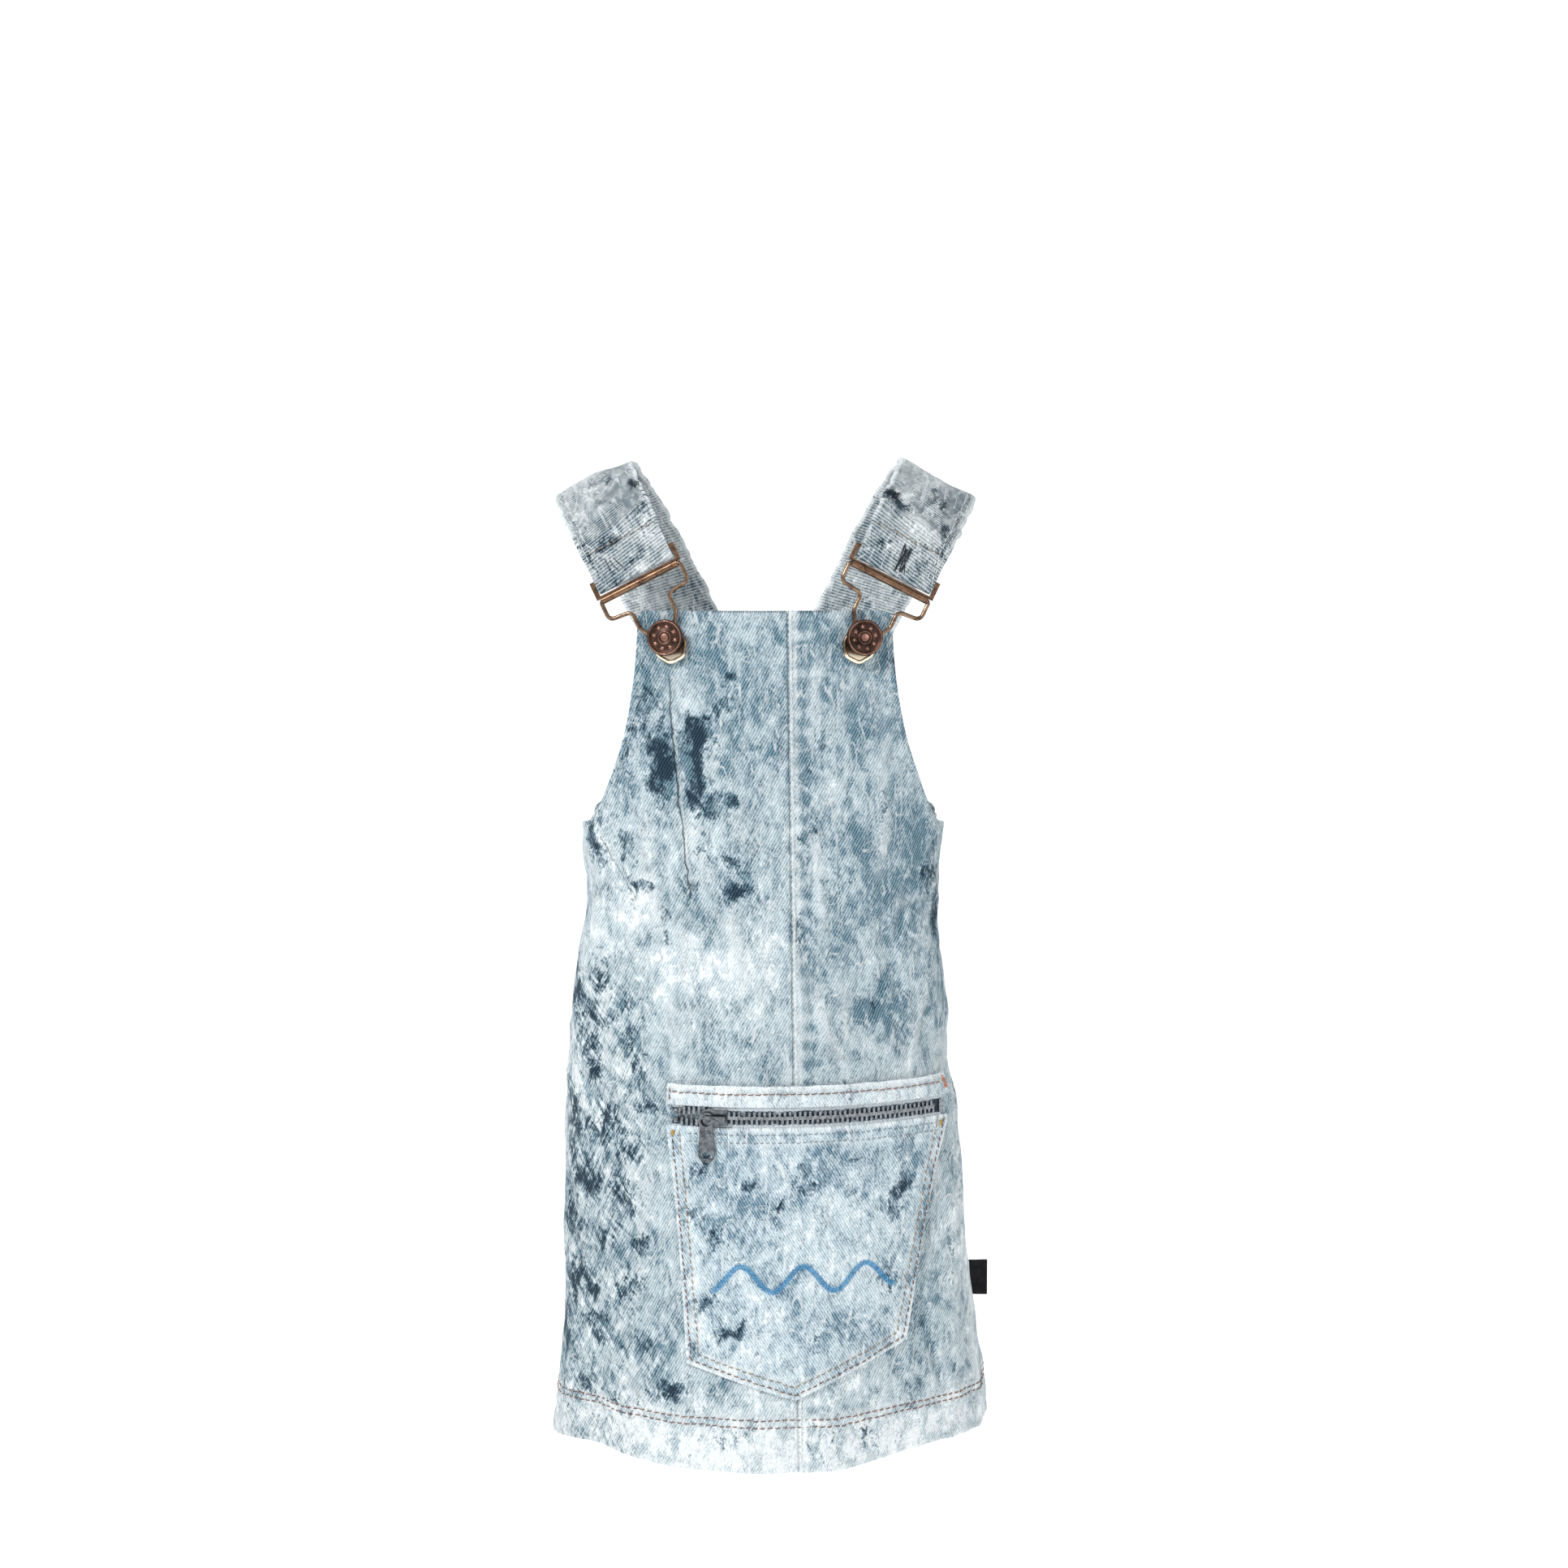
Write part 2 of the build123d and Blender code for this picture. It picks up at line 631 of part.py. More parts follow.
def make_strap_end():
    """The strap's end, turned round the slide's upper bar and sewn down."""
    side = Plane(
        origin=at(-19.5, 0, 0), x_dir=strap_dir, z_dir=bar_dir
    )
    front, back, cloth = 4.6, 0.4, 1.2
    middle, reach = (front + back) / 2, (front - back) / 2
    nose = SLOT_HIGH - 0.4
    with BuildPart() as end:
        with BuildSketch(side):
            with Locations(((nose + LOOP_TOP) / 2, middle)):
                Rectangle(LOOP_TOP - nose, 2 * reach)
            with Locations((nose, middle)):
                Circle(reach)
            with Locations(((nose + LOOP_TOP - 3) / 2, middle)):
                Rectangle(
                    LOOP_TOP - 3 - nose, 2 * (reach - cloth), mode=Mode.SUBTRACT
                )
            with Locations((nose, middle)):
                Circle(reach - cloth, mode=Mode.SUBTRACT)
        extrude(amount=39.0)
    save_pair(end.part, "strap_end")


STRAP_PATH = (
    (77.5, -29, 50.2), (82.8, -9, 59.0), (83.0, 5, 60.0), (79.5, 23, 54.5),
    (70.5, 37, 39.0), (58.5, 44.2, 16.0), (45.5, 47.0, -10.0), (33.5, 46.7, -36.0),
    (24.5, 46.2, -57.0),
)
SHOULDER_BAR = Vector(0.90, 0.0, -0.44)
BACK_BAR = Vector(0.93, -0.10, -0.37)


def make_strap():
    """The strap from the buckle's seam over the shoulder to the back lining."""
    first = at(0, LOOP_TOP + 0.15, 2.5)
    points = [first] + [Vector(x, y, BIB_TOP + z) for x, y, z in STRAP_PATH]
    down = (points[-1] - points[-2]).normalized()
    path = Edge.make_spline(points, tangents=[strap_dir, down])
    steps = 16
    with BuildPart() as strap:
        for i in range(steps + 1):
            t = i / steps
            along = path % t
            if t < 0.35:
                wide = bar_dir + (SHOULDER_BAR - bar_dir) * (t / 0.35)
            else:
                wide = SHOULDER_BAR + (BACK_BAR - SHOULDER_BAR) * ((t - 0.35) / 0.65)
            flat = (wide - along * wide.dot(along)).normalized()
            with BuildSketch(Plane(origin=path @ t, x_dir=flat, z_dir=along)):
                Rectangle(STRAP_WIDTH - 1, STRAP_THICK)
        loft()
    save_pair(strap.part, "strap")


make_body()
make_zip()
make_pocket()
make_embroidery()
make_label()
make_button()
make_hook()
make_frame()
make_strap_end()
make_strap()

low_eye, high_eye = at(0, 8, 0), at(0, 26, 0)
for label, point in (
    ("button", BUTTON),
    ("bar", at(0, BAR_V, WIRE_LEVEL)),
    ("eye low", low_eye),
    ("eye high", high_eye),
    ("ring", zip_plane(RING_S, PULL_LEVEL).origin),
):
    print(label, [round(c, 3) for c in point])
for label, direction in (
    ("outward", outward),
    ("bar", bar_dir),
    ("strap", strap_dir),
    ("ring out", zip_plane(RING_S, PULL_LEVEL).z_dir),
):
    print(label, [round(c, 6) for c in direction])
print("zip axis y", axis_y)
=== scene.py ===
import math

import bpy
import numpy as np
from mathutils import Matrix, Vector


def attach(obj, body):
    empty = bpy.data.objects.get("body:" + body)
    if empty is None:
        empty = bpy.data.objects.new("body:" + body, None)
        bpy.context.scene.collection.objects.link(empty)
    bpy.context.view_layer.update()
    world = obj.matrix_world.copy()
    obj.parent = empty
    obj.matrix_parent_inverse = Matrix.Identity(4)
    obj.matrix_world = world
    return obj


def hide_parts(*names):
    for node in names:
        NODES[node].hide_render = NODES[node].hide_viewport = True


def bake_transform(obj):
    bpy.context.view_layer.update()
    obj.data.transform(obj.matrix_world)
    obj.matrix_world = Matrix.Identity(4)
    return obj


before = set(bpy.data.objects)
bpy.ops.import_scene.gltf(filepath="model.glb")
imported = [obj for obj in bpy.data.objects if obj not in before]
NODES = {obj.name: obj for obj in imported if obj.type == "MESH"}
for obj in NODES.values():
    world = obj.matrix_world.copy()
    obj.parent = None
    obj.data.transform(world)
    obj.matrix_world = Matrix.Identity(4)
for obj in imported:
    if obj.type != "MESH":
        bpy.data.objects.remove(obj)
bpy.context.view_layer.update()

MM, SQUARE_MM = 0.001, 1e-6  # in metres and square metres
link_to_scene = bpy.context.scene.collection.objects.link

# ---------------------------------------------------------------- garment, in millimetres
BIB_TOP = -58.0
FRONT_LENGTH = 414.0
HEM = BIB_TOP - FRONT_LENGTH
ARC_SHARE = 0.88
# drop below the bib top, half width, front depth, back depth, arc radius
SECTIONS = np.array(
    (
        (-8.0, 86.0, 57.2, 52.0, 230.0),
        (30.0, 86.0, 61.0, 54.0, 230.0),
        (75.0, 87.6, 64.6, 54.8, 212.0),
        (104.0, 87.6, 66.0, 55.0, 200.0),
        (135.0, 86.2, 67.3, 55.6, 180.0),
        (165.0, 86.4, 68.7, 57.0, 162.0),
        (205.0, 91.0, 70.0, 60.0, 145.0),
        (262.0, 96.5, 70.0, 63.0, 145.0),
        (340.0, 101.5, 70.0, 66.0, 145.0),
        (414.0, 108.0, 70.0, 70.0, 145.0),
    )
)
ZIP_Z = BIB_TOP - 239.0
ZIP_R, ZIP_Y = 147.25, 75.0
ZIP_LEFT, ZIP_RIGHT, SLIDER_S = -41.0, 88.0, -23.5
HEM_ROWS = (25.6, 22.0)  # heights of the two hem seams above the hem
PUCKER_PITCH = 9.0  # from one pucker of the front seam to the next
CLOTH_THICK, LINING_THICK, TAPE_THICK, LABEL_THICK = 1.0, 0.8, 0.6, 0.35
BUTTON = (45.5, 12.5)


def smoothstep(a, b, x):
    t = np.clip((np.asarray(x, float) - a) / (b - a), 0, 1)
    return t * t * (3 - 2 * t)


def pchip(x, xs, ys):
    """Monotone cubic interpolation."""
    h, d = np.diff(xs), np.diff(ys) / np.diff(xs)
    m = np.zeros(len(xs))
    same = d[1:] * d[:-1] > 0
    m[1:-1][same] = 2 * d[1:][same] * d[:-1][same] / (d[1:] + d[:-1])[same]
    m[0], m[-1] = d[0], d[-1]
    i = np.clip(np.searchsorted(xs, x) - 1, 0, len(h) - 1)
    t = (x - xs[i]) / h[i]
    a, b = ys[i], ys[i + 1]
    return (
        a * (1 + 2 * t) * (1 - t) ** 2
        + b * t * t * (3 - 2 * t)
        + h[i] * (m[i] * t * (1 - t) ** 2 + m[i + 1] * t * t * (t - 1))
    )


def unit(vectors):
    return vectors / np.linalg.norm(vectors, axis=-1, keepdims=True)


def value_noise(u, v, seed):
    """Smooth random surface between -1 and 1, one feature per unit."""
    grid = np.random.RandomState(seed).uniform(-1, 1, (256, 256))
    u, v = np.asarray(u, float) + 1000.0, np.asarray(v, float) + 1000.0
    i, j = np.floor(u).astype(int), np.floor(v).astype(int)
    a, b = u - i, v - j
    a, b = a * a * a * (a * (a * 6 - 15) + 10), b * b * b * (b * (b * 6 - 15) + 10)
    i0, i1, j0, j1 = i % 256, (i + 1) % 256, j % 256, (j + 1) % 256
    low = grid[i0, j0] * (1 - a) + grid[i1, j0] * a
    high = grid[i0, j1] * (1 - a) + grid[i1, j1] * a
    return low * (1 - b) + high * b


def fbm(u, v, seed, octaves=3):
    total, size = 0.0, 1.0
    for k in range(octaves):
        total = total + value_noise(u * 2**k, v * 2**k, seed + k) * size
        size *= 0.5
    return total


# ---------------------------------------------------------------- the worn surface
STEP = 2.0
LEVELS = np.arange(HEM - 8, BIB_TOP + 12, STEP)
SAMPLES = 301


def plan_table(front):
    """Half plan curves at each level, sampled evenly by arc length."""
    drop = BIB_TOP - LEVELS
    half = pchip(drop, SECTIONS[:, 0], SECTIONS[:, 1])
    depth = pchip(drop, SECTIONS[:, 0], SECTIONS[:, 2 if front else 3])
    radius = pchip(drop, SECTIONS[:, 0], SECTIONS[:, 4])
    points, lengths = [], []
    for a, f, r in zip(half, depth, radius):
        x_end = ARC_SHARE * a
        lean = math.asin(x_end / r)
        phi = np.linspace(0, lean, 160)
        arc = np.stack((r * np.sin(phi), r - f - r * np.cos(phi)), 1)
        p0, p3 = arc[-1], np.array((a, 0.0))
        reach = 0.42 * np.linalg.norm(p3 - p0)
        p1 = p0 + reach * np.array((math.cos(lean), math.sin(lean)))
        p2 = p3 - reach * np.array((0.0, 1.0))
        t = np.linspace(0, 1, 80)[1:, None]
        side = (1 - t) ** 3 * p0 + 3 * t * (1 - t) ** 2 * p1 + 3 * t * t * (1 - t) * p2 + t**3 * p3
        curve = np.concatenate((arc, side))
        run = np.concatenate(((0,), np.cumsum(np.linalg.norm(np.diff(curve, axis=0), axis=1))))
        even = np.linspace(0, run[-1], SAMPLES)
        points.append(np.stack((np.interp(even, run, curve[:, 0]), np.interp(even, run, curve[:, 1])), 1))
        lengths.append(run[-1])
    table = np.array(points)
    if not front:
        table[:, :, 1] *= -1
    return table, np.array(lengths)


TABLES = {True: plan_table(True), False: plan_table(False)}


def half_girth(z, front):
    """Arc length from the centre line to the side seam at height z."""
    return np.interp(z, LEVELS, TABLES[front][1])


def raw_point(s, z, front):
    table, lengths = TABLES[front]
    k = np.clip((z - LEVELS[0]) / STEP, 0, len(LEVELS) - 1.001)
    i = k.astype(int)
    f = (k - i)[..., None]
    m = np.clip(np.abs(s) / np.interp(z, LEVELS, lengths), 0, 1) * (SAMPLES - 1.001)
    j = m.astype(int)
    g = (m - j)[..., None]
    low = table[i, j] * (1 - g) + table[i, j + 1] * g
    high = table[i + 1, j] * (1 - g) + table[i + 1, j + 1] * g
    xy = low * (1 - f) + high * f
    return np.stack((xy[..., 0] * np.where(s < 0, -1.0, 1.0), xy[..., 1], z), -1)


def base_frame(s, z, front):
    """Point and outward normal of the smooth worn surface."""
    s, z = np.broadcast_arrays(np.asarray(s, float), np.asarray(z, float))
    p = raw_point(s, z, front)
    along = raw_point(s + 0.7, z, front) - raw_point(s - 0.7, z, front)
    up = raw_point(s, z + 2.5, front) - raw_point(s, z - 2.5, front)
    n = np.cross(along, up)
    if not front:
        n = -n
    return p, unit(n)


# short creases, as (s, drop, angle from upright in degrees, length, width, height)
crease_rng = np.random.RandomState(11)


def random_creases(count, s_range, drop_range, tilt):
    return [
        (
            crease_rng.uniform(*s_range),
            crease_rng.uniform(*drop_range),
            crease_rng.normal(0, tilt),
            crease_rng.uniform(22, 75),
            crease_rng.uniform(1.8, 4.0),
            crease_rng.choice((-1, 1)) * crease_rng.uniform(0.4, 1.3),
        )
        for _ in range(count)
    ]


def fan(s, drop, first, last, count, length, rise):
    """Creases that spread from one point, between two angles from straight down."""
    out = []
    for tilt in np.linspace(first, last, count) + crease_rng.uniform(-6, 6, count):
        reach = length * crease_rng.uniform(0.6, 1.2)
        a = math.radians(tilt)
        middle = (s + 0.5 * reach * math.sin(a), drop + 0.5 * reach * math.cos(a))
        width = crease_rng.uniform(1.7, 2.8)
        height = rise * crease_rng.choice((-1, 1)) * crease_rng.uniform(0.7, 1.2)
        out.append((*middle, -tilt, reach, width, height))
    return out


CREASES = {
    True: random_creases(30, (-125, -40), (100, 400), 20)
    + random_creases(22, (50, 125), (95, 400), 18)
    + random_creases(20, (-60, 60), (30, 225), 14)
    + fan(-45, 22, -35, 30, 6, 70, 0.6)
    + fan(46, 22, -20, 35, 5, 60, 0.5)
    + fan(-92, 120, 10, 70, 5, 45, 0.8)
    + fan(-98, 212, 15, 80, 6, 45, 0.9)
    + fan(-70, 258, -60, 60, 8, 44, 0.7)
    + fan(-108, 290, 10, 100, 6, 42, 0.8)
    + fan(-60, 320, -70, 40, 7, 40, 0.6)
    + fan(100, 128, -70, -10, 5, 46, 0.8)
    + fan(104, 215, -80, -15, 6, 48, 0.8)
    + fan(92, 300, -50, 40, 6, 50, 0.6)
    + [(-43, 75, -5, 105, 2.2, -1.0), (-40, 78, -5, 100, 2.2, 0.8), (-31, 80, 10, 60, 2.2, 0.7)],
    False: random_creases(46, (-120, 120), (70, 400), 20)
    + fan(-98, 150, 10, 80, 6, 50, 0.9)
    + fan(98, 160, -80, -10, 6, 50, 0.9)
    + fan(40, 60, -30, 30, 5, 70, 0.6)
    + fan(-40, 60, -30, 30, 5, 70, 0.6),
}


def crease_field(s, z, front):
    """Summed crease heights, and how much of a ridge and of a valley passes each point."""
    height, ridge, valley = np.zeros_like(s), np.zeros_like(s), np.zeros_like(s)
    for cs, drop, tilt, length, width, rise in CREASES[front]:
        a = math.radians(tilt)
        ds, dz = s - cs, z - (BIB_TOP - drop)
        along = dz * math.cos(a) + ds * math.sin(a)
        off = ds * math.cos(a) - dz * math.sin(a) + 1.1 * np.sin(along / 10.0)
        shape = np.exp(-((off / width) ** 2)) * np.exp(-((along / (0.45 * length)) ** 4))
        height += rise * shape
        ridge = np.maximum(ridge, shape * max(0.0, rise))
        valley = np.maximum(valley, shape * max(0.0, -rise))
    return height, ridge, valley


POCKET = np.array(
    ((-46.0, -224.0), (88.0, -224.0), (86.5, -247.0), (67.5, -353.0), (14.5, -378.0), (-37.0, -361.0))
)


def outline_distance(x, y, outline):
    """Distance to a polygon's edges."""
    nearest = np.full(np.shape(x), 1e9)
    for (x0, y0), (x1, y1) in zip(outline, np.roll(outline, -1, 0)):
        ex, ey = x1 - x0, y1 - y0
        t = np.clip(((x - x0) * ex + (y - y0) * ey) / (ex * ex + ey * ey), 0, 1)
        nearest = np.minimum(nearest, np.hypot(x - x0 - t * ex, y - y0 - t * ey))
    return nearest


def pocket_distance(s, z):
    """Signed distance to the pocket's outline, negative inside."""
    x, y = ZIP_R * np.sin(s / ZIP_R), z - BIB_TOP
    inside = np.ones(np.shape(x), bool)
    for (x0, y0), (x1, y1) in zip(POCKET, np.roll(POCKET, -1, 0)):
        inside &= (x1 - x0) * (y - y0) - (y1 - y0) * (x - x0) < 0
    nearest = outline_distance(x, y, POCKET)
    return np.where(inside, -nearest, nearest)


def seam_s(z):
    """Arc position of the front seam."""
    x = 10.5 + 5.5 * (BIB_TOP - z) / FRONT_LENGTH
    return x * 1.002


def wrinkles(s, z, front):
    """Height of the cloth over the smooth surface."""
    s, z = np.broadcast_arrays(np.asarray(s, float), np.asarray(z, float))
    drop = BIB_TOP - z
    girth = half_girth(z, front)
    turn = s if front else np.where(s < 0, -1, 1) * (2 * girth - np.abs(s))
    fold = value_noise(turn / 30, drop / 240, 3) + 0.5 * value_noise(turn / 15, drop / 150, 5)
    height = fold * (0.25 + 2.3 * smoothstep(170, 410, drop))
    height += 0.55 * fbm(turn / 17 + drop / 90, drop / 34, 21, 3) * (0.5 + 0.5 * smoothstep(30, 110, np.abs(s)))
    at_waist = smoothstep(55, 85, np.abs(s)) * smoothstep(100, 130, drop)
    height += 0.9 * value_noise(turn / 26, drop / 13, 31) * at_waist * (1 - smoothstep(210, 260, drop))
    height += crease_field(s, z, front)[0]
    hem = 1 - smoothstep(26, 44, z - HEM)
    roping = (turn * 0.9 + (z - HEM) * 0.5) * 2 * math.pi / 8.5 + 2 * value_noise(turn / 14, 0, 8)
    height += hem * 0.28 * np.sin(roping)
    if front:
        near_seam = np.abs(s - seam_s(z))
        pucker = np.sin(drop * 2 * math.pi / PUCKER_PITCH + 2.5 * value_noise(drop / 12, 0, 41))
        height += 0.3 * pucker * (1 - smoothstep(4, 10, near_seam)) * (s > seam_s(z) - 3)
        edge = pocket_distance(s, z)
        height *= 0.12 + 0.88 * smoothstep(-2, 22, edge)
        from_zip = np.hypot(np.clip(np.abs(s - 21) - 68, 0, None), np.clip(np.abs(z - ZIP_Z) - 16, 0, None))
        height *= smoothstep(0.0, 1.0, np.clip(from_zip / 9, 0, 1))
        button = np.hypot(np.abs(s) - BUTTON[0] * 1.01, drop - BUTTON[1])
        height *= smoothstep(12, 34, button)
        height *= 0.35 + 0.65 * smoothstep(0, 60, drop)
    else:
        height *= smoothstep(1, 14, np.abs(s))
        height *= 0.35 + 0.65 * smoothstep(50, 110, drop)
    return height


# drop below the bib top, then how far the right and left sides lean out there
LEAN_OUT = np.array(
    (
        (60.0, 0.0, 0.0), (80.0, -1.2, -1.6), (97.0, -2.6, -4.0), (116.0, -2.4, -5.2), (130.0, -3.6, -5.8),
        (146.0, -2.0, -6.8), (160.0, 1.0, -4.4), (174.0, 2.4, -2.4), (189.0, 3.6, -2.2), (206.0, 3.0, -3.4),
        (235.0, 4.6, -5.4), (261.0, 3.2, -5.4), (280.0, 1.8, -5.2), (311.0, 0.8, -4.2), (340.0, -2.6, 0.0),
        (350.0, -3.2, 2.0), (366.0, -2.4, 3.6), (382.0, -2.4, 5.0), (420.0, -2.0, 4.4),
    )
)


def side_shift(s, z, front):
    """How far the worn garment leans sideways, and how far its hem rises, beyond the plain shape."""
    drop = BIB_TOP - z
    low = smoothstep(210, 245, drop)
    near = smoothstep(0, 1, (np.abs(s) / half_girth(z, front) - 0.40 - 0.30 * low) / (0.45 - 0.15 * low))
    right = pchip(np.clip(drop, 60, 420), LEAN_OUT[:, 0], LEAN_OUT[:, 1])
    left = pchip(np.clip(drop, 60, 420), LEAN_OUT[:, 0], LEAN_OUT[:, 2])
    lean = np.where(s < 0, -right, left) * near
    if front:
        lift = 6.0 * smoothstep(34, 92, s) + 4.4 * smoothstep(34, 84, -s) * (1 - 0.9 * smoothstep(100, 136, -s))
    else:
        lift = 6.0 * smoothstep(60, 136, s) + 0.45 * smoothstep(60, 136, -s)
    return lean, lift * smoothstep(370, 412, drop)


def on_body(s, z, off, front=True):
    """Points and normals on the wrinkled cloth, at off above its outer face."""
    p, n = base_frame(s, z, front)
    lean, lift = side_shift(np.asarray(s, float), np.asarray(z, float), front)
    p = p.copy()
    p[..., 0] += lean
    p[..., 2] += lift
    off = np.asarray(off, float) + wrinkles(s, z, front)
    return p + n * off[..., None], n


# ---------------------------------------------------------------- dye pattern, s and drop in mm
SPLASHES = (
    # s, drop, radius across, radius down, strength
    (-33, 62, 8, 15, 1.2), (-31, 76, 7, 14, 1.1), (-50, 70, 7.5, 18, 1.2), (-53, 84, 4, 8, 0.8),
    (-25, 90, 8, 5, 0.9), (-16.5, 33, 4, 6, 0.95), (-22, 46, 10, 7, 0.55), (-58, 42, 6, 14, 0.65),
    (-64, 60, 6, 14, 0.6), (-70, 80, 8, 10, 0.5), (-14, 92, 5, 5, 0.8), (-17, 117, 8, 7, 0.85),
    (-13, 132, 8, 6, 0.95), (-30, 108, 5, 9, 0.5), (-36, 128, 4, 8, 0.7), (-60, 130, 12, 5, 0.65),
    (-70, 112, 5, 12, 0.6), (-86, 110, 6, 14, 1.0), (-48, 152, 5, 8, 0.4), (-64, 190, 6, 9, 0.5),
    (-82, 176, 5, 9, 0.75), (-96, 186, 7, 18, 1.05), (-84, 196, 7, 6, 0.75), (-66, 204, 5, 6, 0.75),
    (-61, 216, 7, 12, 0.5), (-88, 208, 5, 6, 0.85), (-86, 221, 6, 7, 1.0), (-60, 224, 6, 14, 0.55),
    (-104, 250, 9, 20, 0.9), (-56, 238, 8, 7, 0.85), (-80, 250, 12, 12, 0.85), (-66, 262, 10, 6, 0.7),
    (-94, 276, 14, 12, 0.95), (-72, 282, 10, 9, 0.8), (-108, 300, 10, 16, 0.9), (-84, 304, 10, 9, 0.75),
    (-60, 306, 7, 8, 0.85), (-98, 330, 12, 12, 0.9), (-70, 330, 9, 8, 0.7), (-114, 352, 12, 14, 0.9),
    (-86, 352, 10, 9, 0.75), (-62, 356, 9, 7, 0.65), (-48, 376, 9, 8, 0.85), (-98, 382, 12, 9, 0.6),
    (-72, 388, 9, 7, 0.5), (56, 184, 9, 9, 0.5), (34, 128, 7, 7, 0.45), (30, 62, 3, 4, 0.85),
    (37, 13, 5, 6, 0.85), (62, 24, 6, 14, 0.55), (84, 125, 6, 16, 0.75), (92, 145, 6, 18, 0.85),
    (70, 60, 5, 16, 0.4), (60, 92, 6, 12, 0.4), (22, 76, 5, 12, 0.45), (20, 100, 6, 8, 0.5),
    (16, 150, 4, 10, 0.4), (96, 320, 6, 12, 0.5), (80, 350, 5, 16, 0.5), (78, 385, 7, 10, 0.5),
    (25, 400, 10, 8, 0.3), (50, 398, 8, 8, 0.4), (-20, 396, 10, 6, 0.35), (110, 250, 8, 40, 0.55),
    (30, 220, 14, 4, 0.35),
)
POCKET_SPLASHES = (
    (-30, 262, 7, 6, 0.8), (-10, 271, 7, 4, 0.85), (-24, 296, 4, 8, 0.75), (-33, 290, 5, 5, 0.6),
    (20, 270, 8, 6, 0.6), (70, 276, 7, 7, 1.0), (62, 286, 5, 6, 0.7), (42, 276, 3, 5, 0.7),
    (-14, 344, 8, 6, 0.95), (-28, 330, 6, 5, 0.75), (60, 320, 6, 7, 0.6), (8, 284, 4, 10, 0.7),
    (24, 350, 6, 6, 0.5), (-36, 352, 5, 6, 0.6), (46, 262, 9, 4, 0.6),
)
WASHES = (
    # broad mid-blue areas
    (-40, 20, 60, 34, 0.7), (40, 30, 46, 50, 0.7), (62, 110, 34, 60, 0.75), (-10, 60, 40, 60, 0.5),
    (-20, 130, 34, 26, 0.5), (40, 150, 34, 60, 0.55), (56, 186, 22, 24, 0.6), (-60, 196, 22, 20, 0.3),
    (-86, 290, 40, 50, 0.4), (-84, 350, 44, 36, 0.35), (20, 210, 40, 16, 0.4), (84, 330, 14, 60, 0.5),
    (-46, 76, 36, 30, 0.7), (60, 60, 40, 60, 0.5), (-30, 206, 26, 16, 0.35), (96, 150, 16, 50, 0.6),
)
BLEACHED = (
    (0, 404, 140, 15, 0.85), (-62, 132, 26, 34, 0.5), (-24, 170, 40, 26, 0.4), (112, 300, 18, 90, 0.4),
    (10, 385, 60, 20, 0.25), (-30, 104, 20, 14, 0.35), (-100, 230, 10, 20, 0.5), (0, 150, 14, 30, 0.3),
)


def blobs(s, drop, places, seed):
    """The strongest of several soft blots whose outlines are made ragged by noise."""
    warp_s = s + 4.0 * value_noise(s / 9, drop / 9, seed)
    warp_d = drop + 5.0 * value_noise(s / 8, drop / 11, seed + 1)
    total = np.zeros(np.shape(s))
    for cs, cd, rs, rd, strength in places:
        reach = ((warp_s - cs) / rs) ** 2 + ((warp_d - cd) / rd) ** 2
        total = np.maximum(total, strength * np.exp(-reach))
    return total


# ---------------------------------------------------------------- mesh building
def new_object(name, verts, faces, material, smooth=True, extras=()):
    """verts in mm; faces are index lists. extras are (attribute, Nx3 values)."""
    mesh = bpy.data.meshes.new(name)
    mesh.from_pydata((np.asarray(verts, float) * MM).tolist(), [], [list(map(int, f)) for f in faces])
    mesh.validate()
    mesh.polygons.foreach_set("use_smooth", [smooth] * len(mesh.polygons))
    for key, values in extras:
        attribute = mesh.attributes.new(key, "FLOAT_VECTOR", "POINT")
        attribute.data.foreach_set("vector", np.asarray(values, np.float32).ravel())
    mesh.materials.append(material)
    mesh.update()
    obj = bpy.data.objects.new(name, mesh)
    link_to_scene(obj)
    return obj


EDGE_TURNS = (0.25, 0.5, 0.75)


